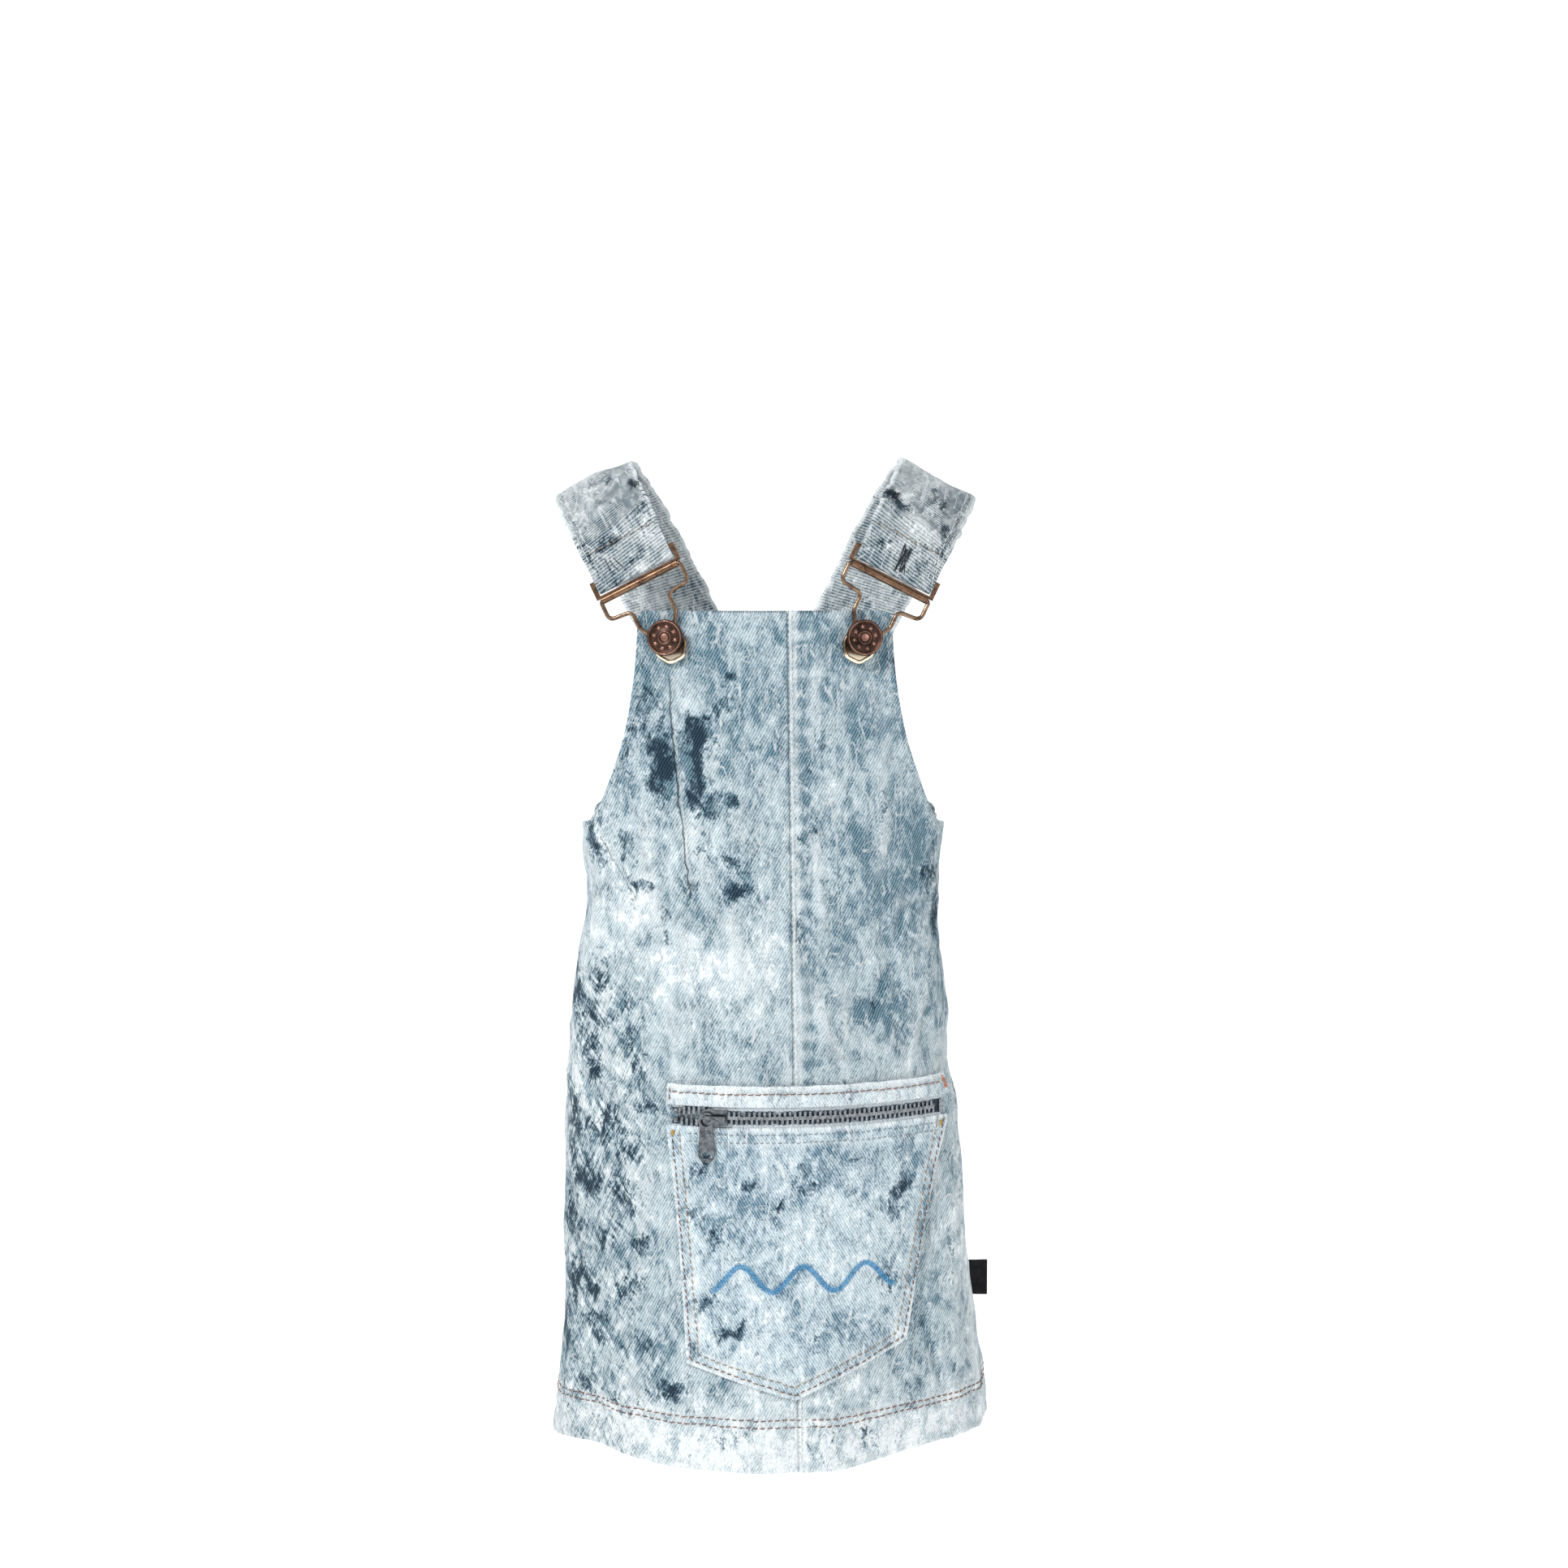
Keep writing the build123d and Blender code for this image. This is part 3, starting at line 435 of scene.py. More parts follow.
def closed_sheet(outer, normals, thick, flip=False):
    """A grid of points given thickness inwards, with round rims. Returns verts, faces, source index."""
    rows, cols = outer.shape[:2]
    thick = np.broadcast_to(np.asarray(thick, float), (rows, cols))
    inner = outer - normals * thick[..., None]
    count = rows * cols
    index = np.arange(count).reshape(rows, cols)
    quads = np.stack((index[:-1, :-1], index[:-1, 1:], index[1:, 1:], index[1:, :-1]), -1).reshape(-1, 4)
    faces = [quads, quads[:, ::-1] + count]
    loop = np.concatenate((index[0, :-1], index[:-1, -1], index[-1, :0:-1], index[:0:-1, 0]))
    flat_o, flat_n, flat_t = outer.reshape(-1, 3), normals.reshape(-1, 3), thick.reshape(-1)
    spread = np.zeros_like(outer)
    spread[0] += outer[0] - outer[1]
    spread[-1] += outer[-1] - outer[-2]
    spread[:, 0] += outer[:, 0] - outer[:, 1]
    spread[:, -1] += outer[:, -1] - outer[:, -2]
    e = spread.reshape(-1, 3)[loop]
    n = flat_n[loop]
    e = e - n * np.sum(e * n, 1, keepdims=True)
    e /= np.maximum(np.linalg.norm(e, axis=1, keepdims=True), 1e-9)
    mid, half = flat_o[loop] - n * flat_t[loop][:, None] / 2, flat_t[loop][:, None] / 2
    verts, sources, rings = [flat_o, inner.reshape(-1, 3)], [np.arange(count)] * 2, [loop]
    start = 2 * count
    for turn in EDGE_TURNS:
        a = turn * math.pi
        verts.append(mid + half * (math.cos(a) * n + math.sin(a) * e))
        sources.append(loop)
        rings.append(np.arange(start, start + len(loop)))
        start += len(loop)
    rings.append(loop + count)
    for a, b in zip(rings, rings[1:]):
        faces.append(np.stack((a, b, np.roll(b, -1), np.roll(a, -1)), -1))
    faces = np.concatenate(faces)
    return np.concatenate(verts), faces if flip else faces[:, ::-1], np.concatenate(sources)


def cloth_piece(
    name, s, z, off, thick, material, front=True, splashes=SPLASHES, washes=WASHES, worn=None, seed=60, pucker=0.0
):
    """A closed piece of cloth on the body over the grid s, z, with its dye map and painted shade: crease valleys
    and pucker troughs are darkened.
    """
    outer, normals = on_body(s, z, off, front)
    verts, faces, source = closed_sheet(outer, normals, thick, flip=not front)
    drop = BIB_TOP - z
    side = 1 if front else -1
    dark = blobs(s * side, drop, splashes, seed)
    mid = blobs(s * side, drop, washes, seed + 5)
    if washes is WASHES:
        mid = mid - blobs(s * side, drop, BLEACHED, seed + 9)
    _, ridge, valley = crease_field(s, z, front)
    # painted shade: crease valleys, and the pucker troughs passed in as pucker, are darkened in the wash channel
    mid = mid + 0.45 * valley + pucker
    worn = ridge * 0.42 if worn is None else np.maximum(ridge * 0.42, worn)
    place = np.stack((s / 10 + (0 if front else 40), z / 10, np.zeros_like(s)), -1).reshape(-1, 3)[source]
    dye_and_painted_shade = np.stack((dark, mid, worn), -1).reshape(-1, 3)[source]
    return new_object(name, verts, faces, material, extras=(("cloth", place), ("dye_and_painted_shade", dye_and_painted_shade)))


def tube_path(points, radius, sides=6):
    """A thin closed tube along points (Nx3), returned as verts and faces."""
    points = np.asarray(points, float)
    tangent = np.gradient(points, axis=0)
    tangent /= np.maximum(np.linalg.norm(tangent, axis=1, keepdims=True), 1e-9)
    ref = np.array((0.12, 0.3, 1.0)) if abs(tangent[0, 2]) < 0.8 else np.array((1.0, 0.3, 0.1))
    u = unit(np.cross(tangent, ref))
    v = np.cross(tangent, u)
    angle = np.arange(sides) * 2 * math.pi / sides
    radius = np.broadcast_to(radius, len(points))[:, None, None]
    spokes = np.cos(angle)[None, :, None] * u[:, None] + np.sin(angle)[None, :, None] * v[:, None]
    ring = points[:, None] + radius * spokes
    verts = ring.reshape(-1, 3)
    faces = []
    for i in range(len(points) - 1):
        for j in range(sides):
            k = (j + 1) % sides
            faces.append((i * sides + j, i * sides + k, (i + 1) * sides + k, (i + 1) * sides + j))
    faces.append(tuple(range(sides))[::-1])
    faces.append(tuple((len(points) - 1) * sides + j for j in range(sides)))
    return verts, faces


def joined(chunks):
    """Several (verts, faces) as one."""
    verts, faces, start = [], [], 0
    for v, f in chunks:
        verts.append(v)
        faces.extend(tuple(int(i) + start for i in face) for face in f)
        start += len(v)
    return np.concatenate(verts), faces


def run_of(path):
    return np.concatenate(((0,), np.cumsum(np.linalg.norm(np.diff(path, axis=0), axis=1))))


def along(path, distance):
    run = run_of(path)
    return np.stack([np.interp(distance, run, path[:, k]) for k in range(path.shape[1])], -1)


def stitch_chunks(surface_path, normals, rng, length=2.7, gap=0.7, radius=0.26, sink=0.3, sway=0.12):
    """Separate stitches along a path: each rises from the cloth and dips back in."""
    run = run_of(surface_path)
    both = np.concatenate((surface_path, normals), 1)
    chunks, d = [], 0.4
    while d + length < run[-1]:
        here = length * rng.uniform(0.9, 1.08)
        t = np.linspace(0, 1, 6)
        spot = np.stack([np.interp(d + here * t, run, both[:, k]) for k in range(6)], -1)
        p, n = spot[:, :3], spot[:, 3:]
        side = np.cross(n, np.gradient(p, axis=0))
        side /= np.maximum(np.linalg.norm(side, axis=1, keepdims=True), 1e-9)
        rise = np.sin(np.pi * t) ** 0.6 * (radius + 0.12) - sink * (1 - np.sin(np.pi * t) ** 0.5)
        slant = rng.normal(0, sway) + (t - 0.5) * 0.35
        thickness = radius * (0.55 + 0.45 * np.sin(np.pi * t))
        chunks.append(tube_path(p + n * rise[:, None] + side * slant[:, None], thickness, 6))
        d += here + gap
    return chunks


def body_path(points, step=0.8):
    """A path over the body given by (s, z) corner points, sampled finely."""
    return along(np.asarray(points, float), np.arange(0, run_of(np.asarray(points, float))[-1], step))


def stitches_on_body(path, off, rng, front=True, **more):
    p, n = on_body(path[:, 0], path[:, 1], off, front)
    return stitch_chunks(p, n, rng, **more)


# ---------------------------------------------------------------- materials
class Nodes:
    """A short way to write a material's node tree."""

    def __init__(self, name):
        self.material = bpy.data.materials.new(name)
        self.material.use_nodes = True
        self.tree = self.material.node_tree
        self.shader = self.tree.nodes["Principled BSDF"]

    def link(self, value, socket):
        if isinstance(value, bpy.types.NodeSocket):
            self.tree.links.new(value, socket)
        else:
            socket.default_value = value

    def add(self, kind, inputs=(), out=0, **settings):
        node = self.tree.nodes.new(kind)
        for key, value in settings.items():
            setattr(node, key, value)
        for key, value in dict(inputs).items():
            self.link(value, node.inputs[key])
        return node.outputs[out]

    def math(self, operation, a, b=0.0, clamp=False):
        return self.add("ShaderNodeMath", {0: a, 1: b}, operation=operation, use_clamp=clamp)

    def times(self, a, b):
        return self.math("MULTIPLY", a, b)

    def minus(self, a, b):
        return self.math("SUBTRACT", a, b)

    def total(self, first, *others):
        for other in others:
            first = self.math("ADD", first, other)
        return first

    def attribute(self, name):
        return self.add("ShaderNodeAttribute", out="Vector", attribute_name=name)

    def parts(self, vector):
        node = self.tree.nodes.new("ShaderNodeSeparateXYZ")
        self.tree.links.new(vector, node.inputs[0])
        return node.outputs

    def stretch(self, vector, scale, shift=(0, 0, 0)):
        return self.add("ShaderNodeMapping", {"Vector": vector, "Scale": scale, "Location": shift})

    def noise(self, vector, scale, detail=4.0, rough=0.55, distortion=0.0):
        return self.add(
            "ShaderNodeTexNoise",
            {"Vector": vector, "Scale": scale, "Detail": detail, "Roughness": rough, "Distortion": distortion},
        )

    def ramp(self, value, low, high, to_low=0.0, to_high=1.0):
        return self.add(
            "ShaderNodeMapRange",
            {"Value": value, "From Min": low, "From Max": high, "To Min": to_low, "To Max": to_high},
            interpolation_type="SMOOTHSTEP",
        )

    def mix(self, factor, a, b, mode="MIX"):
        node = self.tree.nodes.new("ShaderNodeMix")
        node.data_type = "RGBA"
        node.blend_type = mode
        self.link(factor, node.inputs[0])
        for value, key in ((a, 6), (b, 7)):
            self.link(value if isinstance(value, bpy.types.NodeSocket) else (*value, 1.0), node.inputs[key])
        return node.outputs[2]

    def bump(self, height, distance, normal=None, strength=1.0):
        inputs = {"Height": height, "Distance": distance, "Strength": strength}
        if normal is not None:
            inputs["Normal"] = normal
        return self.add("ShaderNodeBump", inputs)

    def finish(self, **values):
        for key, value in values.items():
            self.link(value, self.shader.inputs[key.replace("_", " ").title().replace("Ior", "IOR")])
        return self.material


def rgb(r, g, b):
    """A colour from 0 to 255 screen values."""
    return tuple((c / 255 / 12.92) if c <= 10 else ((c / 255 + 0.055) / 1.055) ** 2.4 for c in (r, g, b))


def denim(name, palette, angle, pitch, contrast=1.0, seed=0.0, painted_fold_shading=()):
    """Bleached denim: a twill of pale and dark yarns, cloudy washes, dark splashes, old folds drawn as a painted
    shadow line with a painted highlight on the lip, and painted shade from the dye map.
    """
    yarn_pale, yarn_mid, groove_pale, groove_mid, splash_and_shade_high, splash_and_shade_low, bleach_and_highlight = palette
    n = Nodes(name)
    place, dye_and_painted_shade = n.attribute("cloth"), n.parts(n.attribute("dye_and_painted_shade"))
    x, z, _ = n.parts(place)
    cloth = n.stretch(place, (1, 1, 1), (seed, seed * 0.7, 0))
    cloud = n.noise(n.stretch(cloth, (0.50, 0.34, 1)), 1.0, 4.0, 0.55, 0.5)
    smudge = n.noise(n.stretch(cloth, (1.5, 1.1, 1)), 1.0, 6.0, 0.63, 0.35)
    streak = n.noise(n.stretch(cloth, (4.6, 1.2, 1)), 1.0, 5.0, 0.62, 0.2)
    grain = n.noise(n.stretch(cloth, (8.0, 6.0, 1)), 1.0, 4.0, 0.7)
    fibre = n.noise(n.stretch(cloth, (30.0, 12.0, 1)), 1.0, 2.0, 0.6)

    def centred(value, gain):
        return n.times(n.minus(value, 0.5), gain)

    # feathered strokes, two ways, in patches and all down the wearer's right side
    feather = None
    for turn, scale in ((24, (3.4, 0.62, 1)), (-38, (2.9, 0.66, 1))):
        turned = n.add("ShaderNodeMapping", {"Vector": cloth, "Rotation": (0, 0, math.radians(turn))})
        stroke = centred(n.noise(n.stretch(turned, scale, (turn, 3, 0)), 1.0, 5.0, 0.66, 1.3), 1.0)
        feather = stroke if feather is None else n.total(feather, stroke)
    low_side = n.times(n.ramp(x, -4.0, -7.5), n.ramp(z, -19.0, -25.0))
    patches = n.ramp(cloud, 0.50, 0.62, 0.15, 0.7)
    feather = n.times(feather, n.math("MAXIMUM", n.times(low_side, n.ramp(x, -20.0, -19.0)), patches))

    # twill: pale yarns over dark grooves
    a = math.radians(angle)
    across = n.total(n.times(x, math.cos(a)), n.times(z, math.sin(a)), centred(smudge, 0.10), centred(fibre, 0.05))
    wale = n.math("SINE", n.times(across, 2 * math.pi / pitch))
    cross = n.math("SINE", n.times(n.total(x, centred(fibre, 0.03)), 2 * math.pi / (0.42 * pitch)))
    weave = n.total(n.times(wale, 0.42), n.times(cross, 0.12), centred(fibre, 1.1), 0.5)
    yarn = n.ramp(weave, 0.05, 0.85)
    # washes, with painted shade darkening crease valleys and the troughs between seam puckers
    wash_and_shade = n.total(
        n.times(dye_and_painted_shade[1], 0.60),
        centred(cloud, 1.2 * contrast),
        centred(smudge, 2.1 * contrast),
        centred(grain, 1.1 * contrast),
        centred(streak, 1.0 * contrast),
        n.times(feather, 2.3 * contrast),
    )
    tone = n.ramp(wash_and_shade, -0.20, 0.70)
    high, low = n.mix(tone, yarn_pale, yarn_mid), n.mix(tone, groove_pale, groove_mid)
    colour = n.mix(yarn, low, high)
    colour = n.mix(n.ramp(wash_and_shade, -0.12, -0.60, 0.0, 0.9), colour, bleach_and_highlight)
    # soft white ridges along old folds, most of them upright
    lines = None
    for scale, width, seeds in (((0.95, 0.20, 1), 0.032, (0, 0, 0)), ((0.5, 0.42, 1), 0.016, (9, 2, 0))):
        bent = n.noise(n.stretch(cloth, scale, seeds), 1.0, 3.0, 0.5, 0.9)
        line = n.ramp(n.math("ABSOLUTE", n.minus(bent, 0.5)), width, 0.0)
        lines = line if lines is None else n.math("MAXIMUM", lines, line)
    ridge = n.times(lines, n.ramp(smudge, 0.42, 0.62, 0.0, 0.55 * contrast))
    colour = n.mix(ridge, colour, bleach_and_highlight)
    worn = n.times(dye_and_painted_shade[2], n.ramp(fibre, 0.3, 0.7, 0.6, 1.0))
    colour = n.mix(n.math("MINIMUM", worn, 0.92), colour, bleach_and_highlight)
    # ragged dark splashes where the dye map allows them; the same dark channel also carries the painted shadow
    # beside the zip teeth and the painted shade in strap seam grooves
    blot = n.noise(n.stretch(cloth, (2.4, 1.6, 1)), 1.0, 7.0, 0.68, 0.9)
    density = n.total(
        n.times(dye_and_painted_shade[0], 0.74),
        centred(blot, 1.9),
        centred(streak, 0.4),
        centred(grain, 0.8),
        n.times(feather, 1.3 * contrast),
    )
    colour = n.mix(n.ramp(density, 0.16, 0.50, 0.0, 0.85), colour, n.mix(yarn, groove_mid, yarn_mid))
    colour = n.mix(n.ramp(density, 0.32, 0.74, 0.0, 0.97), colour, n.mix(yarn, splash_and_shade_low, splash_and_shade_high))
    # sharp folds: a painted shadow line, with a painted highlight on the pale lip beside it
    creased = None
    for x0, z0, x1, z1, width, strength, lip_highlight_strength in painted_fold_shading:
        t = n.ramp(z, z0, z1)
        t.node.interpolation_type = "LINEAR"
        off = n.total(n.minus(x, n.total(n.times(t, x1 - x0), x0)), centred(smudge, 0.5 if lip_highlight_strength < 1 else 0.0))
        inside = n.times(n.ramp(z, z1 - 0.25, z1 + 0.1), n.ramp(z, z0 + 0.25, z0 - 0.1))
        # painted shadow line along the fold, and a painted highlight on the lip beside it
        dark = n.times(n.ramp(n.math("ABSOLUTE", off), width, width * 0.3), inside)
        painted_lip_highlight = n.times(n.ramp(n.math("ABSOLUTE", n.minus(off, width + 0.09)), 0.11, 0.03), inside)
        colour = n.mix(n.times(n.times(painted_lip_highlight, 0.7 * lip_highlight_strength), n.ramp(fibre, 0.35, 0.6, 0.4, 1.0)), colour, bleach_and_highlight)
        colour = n.mix(n.times(dark, strength), colour, splash_and_shade_low)
        step = n.minus(painted_lip_highlight, dark)
        creased = step if creased is None else n.total(creased, step)
    relief = n.total(n.minus(smudge, feather), n.times(lines, 0.25))
    if creased is not None:
        relief = n.total(relief, n.times(creased, 0.3))
    normal = n.bump(relief, 0.0022, strength=0.6)
    normal = n.bump(streak, 0.0009, normal, 0.5)
    normal = n.bump(n.total(weave, n.times(fibre, 0.6)), 0.00024, normal, 0.8)
    sheen = {"sheen_weight": 0.08, "sheen_roughness": 0.6}
    return n.finish(base_color=colour, roughness=0.92, normal=normal, **sheen, specular_ior_level=0.12)


def thread(name, colour, dark):
    n = Nodes(name)
    where = n.add("ShaderNodeTexCoord", out="Object")
    spread = n.noise(where, 420.0, 3.0, 0.6)
    ply = n.noise(n.stretch(where, (2600, 2600, 900)), 1.0, 1.0)
    tint = n.mix(n.ramp(spread, 0.3, 0.7), dark, colour)
    normal = n.bump(ply, 0.00008, strength=0.7)
    return n.finish(base_color=tint, roughness=0.78, normal=normal, specular_ior_level=0.25)


def metal(name, base, tarnish, bright, roughness=0.34, grain=900.0, painted_highlight_z=None):
    """Cast or pressed metal with tarnish in patches, random specks of painted highlight, and, when asked, a painted
    highlight below a given height.
    """
    n = Nodes(name)
    where = n.add("ShaderNodeTexCoord", out="Object")
    patch = n.noise(where, grain * 0.22, 5.0, 0.6, 0.3)
    speck = n.noise(where, grain * 2.0, 3.0, 0.6)
    colour = n.mix(n.ramp(patch, 0.40, 0.66), base, tarnish)
    # random specks of painted highlight
    colour = n.mix(n.ramp(speck, 0.56, 0.75, 0.0, 0.45), colour, bright)
    # painted highlight on everything below a given height
    if painted_highlight_z is not None:
        colour = n.mix(n.ramp(n.parts(where)[2], painted_highlight_z, painted_highlight_z - 0.0022), colour, bright)
    rough = n.ramp(patch, 0.3, 0.75, roughness, roughness + 0.15)
    return n.finish(
        base_color=colour, metallic=1.0, roughness=rough, normal=n.bump(speck, 0.00003, strength=0.35)
    )


# the pale bleach colour also paints the highlight on fold lips; the dark splash colours also paint the shadow along
# folds, beside the zip teeth and in strap seam grooves
BLEACH_AND_HIGHLIGHT = rgb(234, 240, 242)
SPLASH_AND_SHADE = (rgb(36, 62, 80), rgb(4, 20, 32), BLEACH_AND_HIGHLIGHT)
SHELL_DYE = (rgb(208, 218, 222), rgb(120, 150, 164), rgb(156, 177, 187), rgb(44, 78, 98)) + SPLASH_AND_SHADE
POCKET_DYE = (rgb(214, 226, 231), rgb(132, 160, 176), rgb(166, 188, 200), rgb(56, 90, 112)) + SPLASH_AND_SHADE
STRAP_DYE = (rgb(206, 210, 210), rgb(150, 165, 172), rgb(140, 154, 161), rgb(28, 54, 72)) + SPLASH_AND_SHADE
LINING_DYE = (rgb(222, 228, 230), rgb(196, 208, 214), rgb(198, 208, 214), rgb(164, 180, 190)) + SPLASH_AND_SHADE
TAPE_DYE = (rgb(218, 224, 228), rgb(186, 198, 206), rgb(184, 196, 204), rgb(150, 166, 176)) + SPLASH_AND_SHADE
# x and z where a fold starts and ends, half width of its painted shadow line, darkness of that painted shadow,
# strength of the painted highlight on its pale lip; all in cm over the cloth
PAINTED_FOLD_SHADING = (
    (1.052, -5.8, 1.603, -47.2, 0.052, 0.86, 1.0),
    (-4.50, -8.9, -4.36, -11.6, 0.06, 0.7, 0.2),
    (-4.36, -11.6, -4.17, -14.1, 0.075, 0.85, 0.2),
    (-4.17, -14.1, -3.87, -16.3, 0.070, 0.8, 0.2),
    (-3.87, -16.3, -3.55, -19.0, 0.06, 0.75, 0.2),
    (-8.2, -16.6, -6.3, -19.4, 0.05, 0.45, 0.3),
    (8.6, -16.8, 9.1, -20.2, 0.05, 0.5, 0.3),
)
MAIN_DENIM = denim("Washed_denim", SHELL_DYE, -28, 0.126, 1.08, painted_fold_shading=PAINTED_FOLD_SHADING)
POCKET_DENIM = denim("Pocket_denim", POCKET_DYE, 30, 0.12, 1.3, 31.0)
STRAP_DENIM = denim("Strap_denim", STRAP_DYE, 80, 0.145, 1.3, 57.0)
LINING = denim("Lining_cloth", LINING_DYE, -28, 0.12, 0.5, 12.0)
BROWN_THREAD = thread("Brown_thread", rgb(150, 96, 62), rgb(86, 56, 44))
TAN_THREAD = thread("Tan_thread", rgb(176, 152, 122), rgb(122, 102, 84))
PALE_THREAD = thread("Pale_thread", rgb(222, 226, 222), rgb(176, 186, 190))
GREY_THREAD = thread("Grey_thread", rgb(140, 152, 160), rgb(92, 106, 116))
DARK_THREAD = thread("Dark_thread", rgb(40, 48, 58), rgb(14, 18, 26))
BLUE_THREAD = thread("Blue_thread", rgb(120, 182, 220), rgb(66, 136, 186))
ORANGE_THREAD = thread("Orange_thread", rgb(214, 122, 60), rgb(170, 84, 40))
GOLD_THREAD = thread("Gold_thread", rgb(206, 178, 116), rgb(160, 130, 76))
WHITE_FIBRE = thread("White_fibre", rgb(238, 242, 244), rgb(196, 210, 220))
LABEL = thread("Label_ribbon", rgb(28, 28, 32), rgb(10, 10, 12))
TAPE = denim("Zip_tape", TAPE_DYE, 60, 0.09, 0.4)
BRASS = metal("Antique_brass", rgb(128, 100, 80), rgb(78, 58, 46), rgb(214, 188, 156), 0.30)
# the hook wire's lower loop gets a painted highlight
WIRE = metal("Brass_wire", rgb(140, 116, 96), rgb(84, 66, 56), rgb(250, 234, 208), 0.24, painted_highlight_z=-0.0765)
COPPER = metal("Dark_copper", rgb(76, 56, 50), rgb(42, 32, 30), rgb(120, 90, 80), 0.42)
RUBBED = metal("Rubbed_copper", rgb(172, 130, 112), rgb(120, 88, 74), rgb(236, 204, 186), 0.28)
ZIP_METAL = metal("Antique_nickel", rgb(148, 153, 158), rgb(96, 99, 104), rgb(246, 248, 250), 0.22, 2600.0)
GUNMETAL = metal("Gunmetal", rgb(116, 121, 126), rgb(70, 73, 77), rgb(238, 240, 243), 0.22, 1800.0)
STEEL = metal("Shank_steel", rgb(150, 138, 124), rgb(90, 80, 72), rgb(220, 212, 200), 0.35)

for node_name, node_object in NODES.items():
    for part, finish in (
        ("buckle_frame", BRASS),
        ("hook_wire", WIRE),
        ("button_cap", COPPER),
        ("button_shank", STEEL),
        ("button_tack", STEEL),
        ("zip_teeth", ZIP_METAL),
        ("zip_bottom_stop", ZIP_METAL),
        ("zip_top_stops", ZIP_METAL),
        ("zip_slider", GUNMETAL),
        ("zip_pull", GUNMETAL),
    ):
        if node_name.startswith(part):
            for material_slot in node_object.material_slots:
                material_slot.material = finish


def settle(obj, body, replaces=()):
    """Give a piece its body and the CAD nodes that it stands for."""
    if replaces:
        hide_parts(*replaces)
    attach(obj, body)
    return obj


def build(name, chunks, material, body, replaces=()):
    verts, faces = joined(chunks)
    return settle(new_object(name, verts, faces, material), body, replaces)


# ---------------------------------------------------------------- body panels
EDGES = {
    True: np.array(((56.5, 0), (60, 4), (61.4, 26), (66.2, 55.4), (76.5, 85.5), (87.0, 104)), float),
    False: np.array(((45, 45), (48.5, 48), (52, 62), (62, 83), (76, 98), (87.0, 104)), float),
}
ARMHOLE_FOOT = 105.0
RIM = 0.5  # how far a round rim stands beyond its grid


def s_at_x(x, z, front):
    table, lengths = TABLES[front]
    k = int(np.clip(round((z - LEVELS[0]) / STEP), 0, len(LEVELS) - 1))
    return float(np.interp(x, table[k][:, 0], np.linspace(0, lengths[k], SAMPLES)))


def edge_line(front, bottom):
    """Armhole edge, then side seam, from the top corner down to a drop: points (s, z)."""
    knots = EDGES[front]
    (x0, d0), (x1, d1) = knots[0], knots[1]
    a = np.linspace(0, math.pi / 2, 8)
    corner = [(x0 + (x1 - x0) * math.sin(t), d1 - (d1 - d0) * math.cos(t)) for t in a]
    drops = np.linspace(d1, 100, 70)[1:]
    arm = list(zip(pchip(drops, knots[1:, 1], knots[1:, 0]), drops))
    line = [(s_at_x(x, BIB_TOP - d, front), BIB_TOP - d) for x, d in corner + arm]
    s0, last = line[-1][0], 100.0
    s1 = float(half_girth(BIB_TOP - ARMHOLE_FOOT, front))
    for t in np.linspace(0, 1, 24)[1:]:
        line.append((s0 + (s1 - s0) * t, BIB_TOP - (last + (ARMHOLE_FOOT - last) * (1 - (1 - t) ** 2))))
    for d in np.arange(ARMHOLE_FOOT + 1, bottom + 0.5, 1.0):
        line.append((float(half_girth(BIB_TOP - d, front)), BIB_TOP - d))
    line = np.array(line)
    line[:, 0] -= RIM
    return line


def panel_grid(front, side, bottom, start, step=1.9, fine_start=True, fine_foot=True, foot=350.0):
    """Grid of (s, z) from the centre seam to the outer edge, rows from the top down."""
    line = edge_line(front, bottom)
    length = run_of(line)[-1]
    cuts = np.arange(0, length - 34, step)
    cuts = np.concatenate((cuts, np.linspace(length - 34, length, 38 if fine_foot else 18)))
    edge = along(line, cuts)
    top = BIB_TOP - EDGES[front][0, 1]
    foot = min(foot, bottom)
    at_foot = np.interp(-(BIB_TOP - foot), -edge[:, 1], cuts)
    centre = np.where(cuts < at_foot, top + (BIB_TOP - foot - top) * cuts / at_foot, edge[:, 1])
    width = np.max(edge[:, 0])
    if fine_start:
        p = np.concatenate((np.linspace(0, 11, 15)[:-1], np.linspace(11, width, int((width - 11) / step)))) / width
    else:
        p = np.linspace(0, 1, int(width / step))
    z = centre[:, None] + (edge[:, 1] - centre)[:, None] * p[None, :] ** 2
    s0 = start(z)
    s = s0 + p[None, :] * (edge[:, :1] - s0)
    if side < 0:
        s0 = -start(z)
        s = -(s0 + p[None, :] * (edge[:, :1] - s0))
    return s, z


def hem_thickness(z):
    return CLOTH_THICK + 1.1 * (1 - smoothstep(26, 27.5, z - HEM))


def hem_groove(z):
    height = z - HEM
    return -0.3 * sum(np.exp(-(((height - row) / 0.9) ** 2)) for row in HEM_ROWS)


